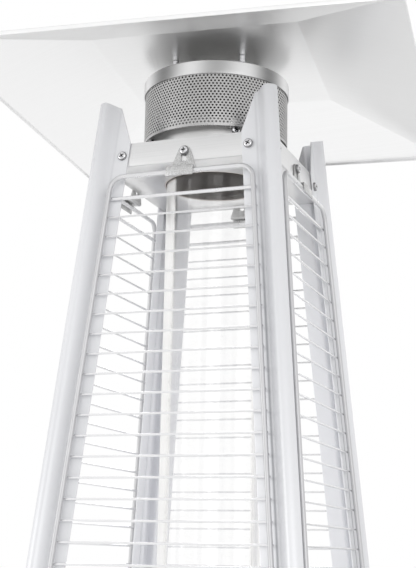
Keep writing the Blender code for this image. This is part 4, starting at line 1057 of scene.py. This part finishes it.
def make_cup():
    low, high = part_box("burner_cup")
    floor = low.z + CUP_SHEET
    inside = CUP_RADIUS - CUP_SHEET
    bore = NOZZLE_RADIUS + GAP
    cup = turned([(CUP_RADIUS, high.z), (CUP_RADIUS, low.z), (bore, low.z), (bore, floor), (inside, floor),
                  (inside, high.z)], CUP_SIDES, "joined")
    tools = []
    for angle in FITTING_DEGREES:
        spot = spun(math.radians(angle)) @ shift((FITTING_CIRCLE, 0, low.z))
        tools.append(cutter(FITTING_HOLE_RADIUS, 2 * CUP_SHEET, spot))
    port = shift((CUP_RADIUS, 0, high.z - CUP_PORT_DROP)) @ spun(QUARTER_TURN, "Y")
    for i in range(CUP_PORTS):
        tools.append(cutter(CUP_PORT_RADIUS, 2 * CUP_SHEET, spun(4 * QUARTER_TURN * i / CUP_PORTS) @ port))
    fitted(softened(cut(cup, joined(tools))), "ported_burner_cup", HEATED, "burner_cup")


make_cup()
refined("burner_nozzle", "brass_nozzle", BRASS)
refined("pilot_burner", "pilot_and_its_pipe", BRASS)
refined("flame_sensor", "flame_sensor_probe", PLATED)
refined("spark_electrode", "ceramic_electrode", CERAMIC)

# Tube seal
# A moulded ring on the deck cradles the foot of the glass.

SEAL_ROUNDING = 0.8 * MM

refined("tube_seal", "moulded_tube_seal", RUBBER, width=SEAL_ROUNDING)

# Wire guards
# Four welded guards of bright nickel-plated wire close the sides. Round crossbars are
# welded on the inner side of a bent edge bar, with short stubs beyond it. The upright
# runs of the edge bar are rougher, and a painted shade makes them darker.

DECK_TOP = 802 * MM
GUARD_BAR_RADIUS = 2.4 * MM
GUARD_SETBACK = 2.9 * MM
GUARD_INSET = 26.9 * MM
GUARD_CORNER_RADIUS = 14 * MM
GUARD_HEAD = 2046.3 * MM
FIRST_CROSSBAR = 2025 * MM
CROSSBAR_PITCH = 19.5 * MM
CROSSBAR_RADIUS = 1.1 * MM
FIRST_CROSSBAR_RADIUS = 1.8 * MM
CROSSBAR_STUB = 2 * MM
GUARD_PIN_SHARE = 0.6
GUARD_PIN_LENGTH = 9 * MM
GUARD_PIN_RADIUS = 1.8 * MM
BAR_SIDES = 16
CROSSBAR_SIDES = 8
GUARD_FOOT = DECK_TOP + GAP + GUARD_BAR_RADIUS / math.cos(LEAN)
WIRE_RELIEF = 0.05 * MM
# The marked upright runs take a painted shade in their colour and a rougher finish.
WIRE = mottled("bright_wire", colours=((0.8, 0.8, 0.81), (0.92, 0.92, 0.93)), roughness=(0.16, 0.32),
               cells=60, relief=WIRE_RELIEF, mark="upright", mark_colour=(0.6, 0.6, 0.61),
               mark_roughness=0.2, metallic=0.85)


def guard_half_width(height):
    """From the middle of a guard to the middle of its side bar."""
    return half_width(height) - GUARD_INSET


def edge_bar():
    """Bent bar round a guard, in the plane of a side, with its upright runs marked for a painted shade."""
    corners = []
    for sign, height in ((-1, GUARD_FOOT), (-1, GUARD_HEAD), (1, GUARD_HEAD), (1, GUARD_FOOT)):
        corners.append(Vector((sign * guard_half_width(height), upslope(height, -GUARD_SETBACK), 0)))
    middle = (corners[0] + corners[-1]) / 2
    bar = bent_bar([middle, *corners, middle], GUARD_BAR_RADIUS, GUARD_CORNER_RADIUS, BAR_SIDES, closed=True)
    upright, = marked(bar, "upright")
    for vert in bar.data.vertices:
        inward = guard_half_width(vert.co.y * math.cos(LEAN)) - abs(vert.co.x)
        upright[vert.index].value = max(0, min(1, 1 - (inward - GUARD_BAR_RADIUS) / GUARD_CORNER_RADIUS))
    return bar


def crossbar(height, radius, sides):
    reach = guard_half_width(height) + CROSSBAR_STUB
    up = upslope(height, -GUARD_SETBACK)
    inward = -GUARD_BAR_RADIUS - radius + GAP
    return bent_bar([(-reach, up, inward), (reach, up, inward)], radius, 0, sides)


def make_guards():
    parts = [edge_bar(), crossbar(FIRST_CROSSBAR, FIRST_CROSSBAR_RADIUS, BAR_SIDES)]
    count = int((FIRST_CROSSBAR - GUARD_FOOT - CROSSBAR_PITCH / 2) / CROSSBAR_PITCH)
    for i in range(1, count):
        parts.append(crossbar(FIRST_CROSSBAR - i * CROSSBAR_PITCH, CROSSBAR_RADIUS, CROSSBAR_SIDES))
    foot = upslope(GUARD_FOOT, -GUARD_SETBACK)
    for sign in (-1, 1):
        across = sign * GUARD_PIN_SHARE * guard_half_width(GUARD_FOOT)
        pin = [(across, foot, 0), (across, foot - GUARD_PIN_LENGTH, 0)]
        parts.append(bent_bar(pin, GUARD_PIN_RADIUS, 0, BAR_SIDES))
    guard = shaded(joined(parts))
    for side, name in enumerate(SIDES):
        place = side_frame(side, outward=-GUARD_SETBACK)
        fitted(copied(guard, place), name + "_wire_guard", WIRE, name + "_guard")
    bpy.data.objects.remove(guard)


make_guards()

# Glass tube
# A clear heat-proof glass tube stands on a seal on the deck and carries the flame up to
# the tray. Its rims are fire-polished.

TUBE_RADIUS = 50 * MM
TUBE_WALL = 2.6 * MM
TUBE_SIDES = 160
RIM_ROUNDING = 1.1 * MM
GLASS_COLOUR = (0.99, 0.985, 0.975)
GLASS_SIDE_FROM = 0.44
GLASS_SIDE_TO = 0.56
GLASS_CLEAR_SHARES = (0.03, 0.045)
GLASS_ROUGHNESS = (0.02, 0.08)
HAZE_SPREAD = (0.3, 0.8)
SMOKE_SPREAD = (0.45, 0.8)


def flame_glass(nodes):
    """Borosilicate glass, sheer where it is looked through and bright at its sides, with a trace of smoke."""
    haze = grain(nodes, (14, 14, 3))
    streaks = grain(nodes, (60, 60, 12))
    slant = nodes.add("LayerWeight", None, {"Blend": 0.5}, output="Facing")
    side = ramped(nodes, slant, GLASS_SIDE_FROM, GLASS_SIDE_TO) * (0.72 + 0.28 * streaks)
    clear = ramped(nodes, haze, *HAZE_SPREAD, *GLASS_CLEAR_SHARES)
    smoke = ramped(nodes, haze, *SMOKE_SPREAD, *GLASS_ROUGHNESS)
    return {"Roughness": smoke + 0.35 * side, "Alpha": clear + side}


GLASS = finished("flame_glass", flame_glass, plain=GLASS_COLOUR)


def make_tube():
    low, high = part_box("glass_tube")
    inner = TUBE_RADIUS - TUBE_WALL
    profile = [(TUBE_RADIUS, low.z), (TUBE_RADIUS, high.z), (inner, high.z), (inner, low.z)]
    tube = softened(turned(profile, TUBE_SIDES, "joined"), RIM_ROUNDING, 3)
    fitted(tube, "clear_glass_tube", GLASS, "glass_tube")


make_tube()

# Top tray
# A brushed stainless tray is folded up between the post heads. Its floor has the hole
# that the flame passes through, and the tube stands up to it.

TRAY_HOLE_RADIUS = 52.5 * MM
TRAY_BEND = 1.6 * MM
OVERRUN = 5 * MM


def make_tray():
    low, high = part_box("top_tray")
    setback = PANEL_FACE / math.cos(LEAN)
    halves = (half_width(low.z) - setback, half_width(high.z) - setback)
    tray = walled(open_tray(low.z, high.z, *halves, TRAY_BEND, 1))
    cut(tray, cutter(TRAY_HOLE_RADIUS, OVERRUN, shift((0, 0, low.z)), TUBE_SIDES))
    fitted(softened(tray), "folded_top_tray", BRUSHED, "top_tray")


make_tray()

# Guard clips
# Slotted plates folded from matt zinc-plated strip: each slides up on its screw to free
# the guard, and its lip hooks over the guard's head bar.

CLIP_HEAD_WIDTH = 13 * MM
CLIP_FOOT_WIDTH = 28 * MM
CLIP_HEAD_ABOVE_TRAY = 16.5 * MM
CLIP_PLATE_BELOW_TRAY = 9 * MM
CLIP_LIP = 10 * MM
CLIP_SCREW_ABOVE_TRAY = 11 * MM
CLIP_TRAVEL = 9.5 * MM
CLIP_SLOT_SLACK = 0.4 * MM
CLIP_BEND = 1 * MM
CLIP_HEAD_STEPS = 12
CLIP_HEAD_TANGENT = math.radians(15)
CLIP_SCREW_LENGTH = 9 * MM
ZINC_RELIEF = 0.04 * MM
ZINC = mottled("zinc_plating", colours=((0.5, 0.5, 0.495), 0.7), roughness=(0.34, 0.5), cells=900,
               spread=(0.35, 0.65), relief=ZINC_RELIEF, slot="brushed_steel")


def outlined(points):
    """A flat face drawn round points, left open in edit mode."""
    started(bpy.ops.mesh.primitive_plane_add, size=1)
    open_mesh()
    bpy.ops.mesh.merge(type="CENTER")
    bpy.ops.transform.translate(value=points[0])
    for start, end in zip(points, points[1:]):
        pulled(Vector(end) - Vector(start), bpy.ops.mesh.extrude_vertices_move)
    bpy.ops.mesh.select_all(action="SELECT")
    bpy.ops.mesh.edge_face_add()


def clip_outline(foot):
    """Corner points of the plate's face, from its left foot round the rounded head."""
    radius = CLIP_HEAD_WIDTH / 2
    points = [(-CLIP_FOOT_WIDTH / 2, foot, SHEET), (CLIP_FOOT_WIDTH / 2, foot, SHEET)]
    sweep = 2 * (QUARTER_TURN - CLIP_HEAD_TANGENT)
    for i in range(CLIP_HEAD_STEPS + 1):
        angle = CLIP_HEAD_TANGENT + sweep * i / CLIP_HEAD_STEPS
        up = CLIP_HEAD_ABOVE_TRAY - radius + radius * math.sin(angle)
        points.append((radius * math.cos(angle), up, SHEET))
    return points


def clip_shape():
    """Plate, shelf and lip folded from one sheet, with the screw's slot."""
    foot = GAP - CLIP_PLATE_BELOW_TRAY
    outlined(clip_outline(foot))
    if bmesh.from_edit_mesh(in_hand().data).faces[:][0].normal.z < 0:
        bpy.ops.mesh.flip_normals()
    pick("EDGE", lambda edge: all(abs(vert.co.y - foot) < MERGE_GAP for vert in edge.verts))
    pulled((0, 0, GUARD_BAR_RADIUS - GUARD_SETBACK + PANEL_FACE), bpy.ops.mesh.extrude_edges_move)
    pulled((0, -CLIP_LIP, 0), bpy.ops.mesh.extrude_edges_move)
    rounded_folds(CLIP_BEND)
    clip = walled(settle())
    slot = cutter(SCREW_SHANK_RADIUS + CLIP_SLOT_SLACK, 2 * SHEET, shift((0, CLIP_SCREW_ABOVE_TRAY, 0)))
    bpy.context.view_layer.objects.active = slot
    open_mesh()
    pick("VERT", lambda vert: vert.co.y < CLIP_SCREW_ABOVE_TRAY - MERGE_GAP)
    bpy.ops.transform.translate(value=(0, -CLIP_TRAVEL, 0))
    settle()
    return softened(cut(clip, slot))


def make_clips():
    clip = clip_shape()
    screw = pan_head_screw(CLIP_SCREW_LENGTH)
    face = GAP - PANEL_FACE
    for side, name in enumerate(SIDES):
        node = name + "_clip"
        place = side_frame(side, 0, upslope(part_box("top_tray")[0].z, face), face)
        fitted(copied(clip, place), name + "_guard_clip", ZINC, node, body=node)
        seat = place @ shift((0, CLIP_SCREW_ABOVE_TRAY, SHEET + GAP)) @ spun(side)
        fitted(copied(screw, seat), name + "_clip_pan_screw", PLATED, node + "_screw")
    bpy.data.objects.remove(clip)
    bpy.data.objects.remove(screw)


make_clips()

# Screen base
# A turned ring on the tray's floor carries the screen. Its collar sits in the tray's
# hole, and four tabs with screws hold the screen's foot.

COLLAR_RADIUS = 51 * MM
SCREEN_BASE_RADIUS = 68 * MM
SCREEN_BASE_HEIGHT = 51.5 * MM
SCREEN_RADIUS = 75 * MM
SCREEN_SHEET = 0.8 * MM
BASE_RING_SIDES = 144
TAB_WIDTH = 9 * MM
TAB_HEIGHT = 8 * MM
TAB_DEGREES = (-55, 35, 125, 215)
TAB_SCREW_DEGREES = 2
TAB_SCREW_HEIGHT = 2098.5 * MM
TAB_SCREW_SHANK = 4 * MM
TURNING_MARKS_PER_METRE = 2600
BASE_OUTSIDE = (0.6, (0.76, 0.755, 0.75))
# The inner side's colours are a heat tint made pale as painted light.
BASE_INSIDE_TINT_AND_PAINTED_LIGHT = ((0.72, 0.665, 0.635), (0.88, 0.83, 0.8))


def from_axis(nodes):
    """Distance from the heater's axis."""
    return nodes.length(nodes.scaled(nodes.place(), (1, 1, 0)))


def turning_marks(nodes):
    """Marks that run round the axis."""
    rings = nodes.add("CombineXYZ", None, {"X": from_axis(nodes) * TURNING_MARKS_PER_METRE,
                                           "Y": nodes.along("Z") * TURNING_MARKS_PER_METRE})
    return nodes.add("TexNoise", None, {"Vector": rings, "Scale": 1.0, "Detail": 2.0})


def screen_base_steel(nodes):
    """Stainless ring with turning marks; its inner side has a warm heat tint and is coloured paler than the
    outside, painted light for the dim inside of the ring.
    """
    patches = grain(nodes, (24, 24, 60))
    outside = mixed(nodes, patches, *BASE_OUTSIDE)
    inside = mixed(nodes, patches, *BASE_INSIDE_TINT_AND_PAINTED_LIGHT)
    edge = ramped(nodes, from_axis(nodes), SCREEN_BASE_RADIUS - SHEET, SCREEN_BASE_RADIUS - SHEET / 4)
    colour = mixed(nodes, edge, inside, outside)
    return skin(nodes, colour, 0.3 + 0.14 * patches, turning_marks(nodes), MARK_DEPTH)


SCREEN_BASE_STEEL = finished("screen_base_steel", screen_base_steel, slot="heated_steel")


def make_screen_base():
    low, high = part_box("screen_base")
    floor = high.z - SCREEN_BASE_HEIGHT
    inner = SCREEN_BASE_RADIUS - SHEET
    ring = turned([(SCREEN_BASE_RADIUS, high.z), (SCREEN_BASE_RADIUS, floor), (COLLAR_RADIUS + SHEET, floor),
                   (COLLAR_RADIUS + SHEET, low.z), (COLLAR_RADIUS, low.z), (COLLAR_RADIUS, floor + SHEET),
                   (inner, floor + SHEET), (inner, high.z)], BASE_RING_SIDES, "joined")
    parts = [softened(ring)]
    reach = SCREEN_RADIUS - SCREEN_SHEET - SCREEN_BASE_RADIUS
    tab = softened(started(bpy.ops.mesh.primitive_cube_add, (reach + SHEET, TAB_WIDTH, TAB_HEIGHT), size=1))
    tab_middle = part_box("flame_screen")[0].z + TAB_HEIGHT / 2
    placed(tab, shift((SCREEN_BASE_RADIUS + (reach - SHEET) / 2, 0, tab_middle)))
    screw = pan_head_screw(TAB_SCREW_SHANK)
    for i, angle in enumerate(TAB_DEGREES):
        parts.append(copied(tab, spun(math.radians(angle))))
        beside = spun(math.radians(angle + TAB_SCREW_DEGREES))
        seat = beside @ shift((SCREEN_BASE_RADIUS, 0, TAB_SCREW_HEIGHT)) @ spun(QUARTER_TURN, "Y")
        fitted(copied(screw, seat @ spun(i + 1)), f"screen_tab_screw_{i + 1}", PLATED)
    bpy.data.objects.remove(tab)
    bpy.data.objects.remove(screw)
    fitted(joined(parts), "turned_screen_base", SCREEN_BASE_STEEL, "screen_base")


make_screen_base()

# Flame screen
# A sleeve of perforated stainless sheet stands round the base ring; the hot gas leaves
# through its staggered round holes.

HOLE_COLUMNS = 124
HOLE_ROWS = 22
HOLE_SHARE = 0.34
INSET_SHARE = 0.2
SCREEN_UNSHADED_FOOT = 12 * MM
SCREEN_PALE_FOOT = 55 * MM
SCREEN_PALE_SHARE = 0.5
SCREEN_MARGIN = 2.4 * MM
SCREEN_COLOURS = (0.45, (0.66, 0.655, 0.65))
# Painted shade for the inside of the screen.
SCREEN_INSIDE_SHADE = (0.035, 0.03, 0.027)


def perforated_steel(nodes):
    """Thin stainless sheet, a little tinted outside; its inside is near black, a painted shade, that fades
    out towards its foot.
    """
    clouds = grain(nodes, 30)
    strokes = grain(nodes, (40, 40, 1800), detail=2)
    # The inner face takes the painted shade, less of it towards the foot.
    face = ramped(nodes, from_axis(nodes), SCREEN_RADIUS - SCREEN_SHEET / 2, SCREEN_RADIUS - SCREEN_SHEET / 6)
    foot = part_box("flame_screen")[0].z
    for reach, share in ((SCREEN_UNSHADED_FOOT, 1), (SCREEN_PALE_FOOT, SCREEN_PALE_SHARE)):
        face = nodes.math("MAXIMUM", face, ramped(nodes, nodes.along("Z"), foot, foot + reach, share, 0))
    colour = mixed(nodes, face, SCREEN_INSIDE_SHADE, mixed(nodes, clouds, *SCREEN_COLOURS))
    return skin(nodes, colour, 0.28 + 0.14 * clouds, strokes, MARK_DEPTH)


PERFORATED = finished("perforated_steel", perforated_steel, slot="brushed_steel")


def hole_cell(width, height):
    """One cell of the sheet with a round hole, its corners and edge middles kept for its neighbours."""
    cell = started(bpy.ops.mesh.primitive_plane_add, (width, height, 1), size=1)
    open_mesh()
    bpy.ops.mesh.subdivide(number_cuts=1)
    pick("VERT", lambda vert: vert.co.length < MERGE_GAP)
    bpy.ops.mesh.dissolve_verts()
    bpy.ops.mesh.select_mode(type="FACE")
    bpy.ops.mesh.select_all(action="SELECT")
    bpy.ops.mesh.inset(thickness=INSET_SHARE * height)
    mesh = bmesh.from_edit_mesh(cell.data)
    radius = HOLE_SHARE * (width + height) / 2
    for vert in mesh.verts:
        if abs(vert.co.x) < width / 2 - MERGE_GAP and abs(vert.co.y) < height / 2 - MERGE_GAP:
            vert.co = vert.co.normalized() * radius
    bmesh.update_edit_mesh(cell.data)
    bpy.ops.mesh.delete(type="FACE")
    bpy.ops.object.mode_set(mode="OBJECT")
    return cell


def repeated(item, count, step):
    """A row of one mesh, joined where its copies meet."""
    return with_modifier(item, "ARRAY", count=count, use_relative_offset=False, use_constant_offset=True,
                         constant_offset_displace=step, use_merge_vertices=True, merge_threshold=MERGE_GAP)


def make_screen():
    low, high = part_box("flame_screen")
    width = 2 * math.pi * SCREEN_RADIUS / HOLE_COLUMNS
    height = (high.z - low.z - 2 * SCREEN_MARGIN) / HOLE_ROWS
    row = repeated(hole_cell(width, height), HOLE_COLUMNS, (width, 0, 0))
    staggered = copied(row, shift((width / 2, height, 0)))
    sheet = repeated(joined([row, staggered]), HOLE_ROWS // 2, (0, 2 * height, 0))
    open_mesh()
    bpy.ops.mesh.remove_doubles(threshold=MERGE_GAP)
    bottom = -height / 2
    for level, step in ((bottom, -SCREEN_MARGIN), (bottom + HOLE_ROWS * height, SCREEN_MARGIN)):
        pick("EDGE", lambda edge: all(abs(vert.co.y - level) < MERGE_GAP for vert in edge.verts))
        pulled((0, step, 0))
    mesh = bmesh.from_edit_mesh(sheet.data)
    for vert in mesh.verts:
        angle = vert.co.x / SCREEN_RADIUS
        rise = vert.co.y - bottom + SCREEN_MARGIN + low.z
        vert.co = (SCREEN_RADIUS * math.cos(angle), SCREEN_RADIUS * math.sin(angle), rise)
    bmesh.update_edit_mesh(sheet.data)
    bpy.ops.mesh.select_all(action="SELECT")
    bpy.ops.mesh.remove_doubles(threshold=MERGE_GAP)
    facing_out()
    settle()
    outward = sheet.data.polygons[0]
    if outward.normal.dot(Vector((outward.center.x, outward.center.y, 0))) < 0:
        sheet.data.flip_normals()
    fitted(shaded(walled(sheet, SCREEN_SHEET)), "perforated_screen", PERFORATED, "flame_screen")


make_screen()

# Screen lid
# A shallow turned lid with a rim band closes the screen and carries the reflector's
# studs.

LID_SHEET = 1 * MM
LID_BEND = 2.5 * MM
LID_SIDES = 160
LID_BORE = 75.3 * MM
LID_BEND_STEPS = 5
LID_GLINTS = 4
LID_GLINT_TURN = 0.16
LID_FINE_GLINT_TURN = 1.4
LID_DARK_RADIUS = 30 * MM
LID_LIGHT_RADIUS = 72 * MM
LID_GREYS = (0.02, 0.99)
LID_MARKS_GREY = 0.6
LID_UNDERSIDE = (0.1, 0.092, 0.086)
LID_CROWN = ((0.3, 0.295, 0.285), 0.85)


def turned_steel(nodes):
    """Spun stainless steel with turning marks and painted glints round the axis; a painted shadow darkens its
    underside within the bore, and its top face is darker towards the middle.
    """
    radius = from_axis(nodes)
    marks = turning_marks(nodes)
    patches = grain(nodes, (15, 15, 0), detail=1)
    # The glints round the axis are painted highlights in the steel's colour.
    around = nodes.math("ARCTAN2", nodes.along("Y"), nodes.along("X"))
    glint = nodes.math("SINE", around * LID_GLINTS + LID_GLINT_TURN)
    fine_glint = nodes.math("SINE", around * (2 * LID_GLINTS) + patches + LID_FINE_GLINT_TURN)
    steel = mixed(nodes, 0.62 + 0.12 * glint + 0.28 * fine_glint, *LID_GREYS)
    band = mixed(nodes, 0.2 * marks, steel, LID_MARKS_GREY)
    facing_up = nodes.facing_up()
    facing_down = ramped(nodes, facing_up, -FACING_SHARE, 0, 1, 0)
    # Painted shadow on the underside within the bore, seen in the gap above the screen.
    underside = ramped(nodes, radius, LID_BORE - GAP, LID_BORE, 1, 0) * facing_down
    top = ramped(nodes, facing_up, FACING_SHARE, 1)
    below = mixed(nodes, underside, band, LID_UNDERSIDE)
    crown = mixed(nodes, ramped(nodes, radius, LID_DARK_RADIUS, LID_LIGHT_RADIUS), *LID_CROWN)
    colour = mixed(nodes, top, below, crown)
    return skin(nodes, colour, 0.26 + 0.1 * patches + 0.2 * top, marks, SCRATCH_DEPTH)


TURNED = finished("turned_steel", turned_steel, slot="brushed_steel")


def make_lid():
    low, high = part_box("screen_lid")
    outer = high.x
    bore = outer - LID_SHEET
    profile = [(bore, high.z - LID_BEND), (bore, low.z), (outer, low.z), (outer, high.z - LID_BEND)]
    for i in range(1, LID_BEND_STEPS + 1):
        angle = QUARTER_TURN * i / LID_BEND_STEPS
        profile.append((outer - LID_BEND * (1 - math.cos(angle)), high.z - LID_BEND * (1 - math.sin(angle))))
    fitted(softened(turned(profile, LID_SIDES)), "spun_screen_lid", TURNED, "screen_lid")


make_lid()

# Reflector
# A square of bright aluminium sheet throws the heat down. It is folded to a flat middle
# with four falling borders and a short lip turned down along each edge.

REFLECTOR_TURN = math.radians(6)
REFLECTOR_PLATE_HALF = 105.5 * MM
REFLECTOR_HALF = 218 * MM
REFLECTOR_PLATE_HEIGHT = 2187 * MM
REFLECTOR_FALL = 36.5 * MM
REFLECTOR_LIP = 3.5 * MM
REFLECTOR_SHEET = 1 * MM
REFLECTOR_CREASE = 1.2 * MM
REFLECTOR_WAVE = 1.5 * MM
BRIGHT_GREYS = (0.91, 0.98)
WEATHERED_COLOURS = ((0.64, 0.64, 0.645), (0.82, 0.82, 0.825))


def bright_aluminium(nodes):
    """Rolled aluminium: mirrors softly, with rolling marks and a shallow wave, dulled on top by weather."""
    rolling = grain(nodes, (5, 900, 5), detail=2)
    wave = grain(nodes, 5, detail=1)
    weathered = ramped(nodes, nodes.facing_up(), FACING_SHARE, 1)
    dull = mixed(nodes, grain(nodes, 12), *WEATHERED_COLOURS)
    colour = mixed(nodes, weathered, mixed(nodes, rolling, *BRIGHT_GREYS), dull)
    roughness = 0.26 + 0.1 * rolling + 0.16 * weathered
    return skin(nodes, colour, roughness, rolling * 0.02 + wave, REFLECTOR_WAVE)


ALUMINIUM = finished("bright_aluminium", bright_aluminium)


def make_reflector():
    started(bpy.ops.mesh.primitive_plane_add, size=2 * REFLECTOR_PLATE_HALF,
            location=(0, 0, REFLECTOR_PLATE_HEIGHT))
    open_mesh()
    bpy.ops.mesh.select_mode(type="EDGE")
    bpy.ops.mesh.select_all(action="SELECT")
    pulled((0, 0, -REFLECTOR_FALL), bpy.ops.mesh.extrude_edges_move)
    grow = REFLECTOR_HALF / REFLECTOR_PLATE_HALF
    bpy.ops.transform.resize(value=(grow, grow, 1), center_override=(0, 0, 0))
    pulled((0, 0, -REFLECTOR_LIP), bpy.ops.mesh.extrude_edges_move)
    rounded_folds(REFLECTOR_CREASE, segments=3)
    facing_out()
    reflector = settle()
    if max(reflector.data.polygons, key=lambda face: face.area).normal.z < 0:
        reflector.data.flip_normals()
    placed(walled(reflector, REFLECTOR_SHEET, 1.0), spun(REFLECTOR_TURN))
    fitted(softened(reflector), "folded_reflector", ALUMINIUM, "reflector")


make_reflector()

# Reflector studs and wing nuts
# Four shoulder studs stand on the lid; their threads pass through the reflector, and
# wing nuts clamp it down on the shoulders.

STUD_SHOULDER_RADIUS = 3.2 * MM
STUD_THREAD_RADIUS = 2.4 * MM
THREAD_PITCH = 1 * MM
THREAD_DEPTH = 0.45 * MM
STUD_SIDES = 32
NUT_ROUNDING = 0.5 * MM


def make_studs():
    seat = REFLECTOR_PLATE_HEIGHT - GAP
    root = STUD_THREAD_RADIUS - THREAD_DEPTH
    for i in range(1, 5):
        node = f"reflector_stud_{i}"
        low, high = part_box(node)
        profile = [(STUD_SHOULDER_RADIUS, low.z), (STUD_SHOULDER_RADIUS, seat)]
        for turn in range(int((high.z - seat) / THREAD_PITCH)):
            profile.append((root, seat + turn * THREAD_PITCH))
            profile.append((STUD_THREAD_RADIUS, seat + (turn + 1 / 2) * THREAD_PITCH))
        profile.append((root, high.z))
        spot = middle_of(node)
        stud = placed(turned(profile, STUD_SIDES), shift((spot.x, spot.y, 0)))
        fitted(shaded(stud), f"threaded_stud_{i}", PLATED, node)
        refined(f"wing_nut_{i}", f"cast_wing_nut_{i}", PLATED, width=NUT_ROUNDING)


make_studs()
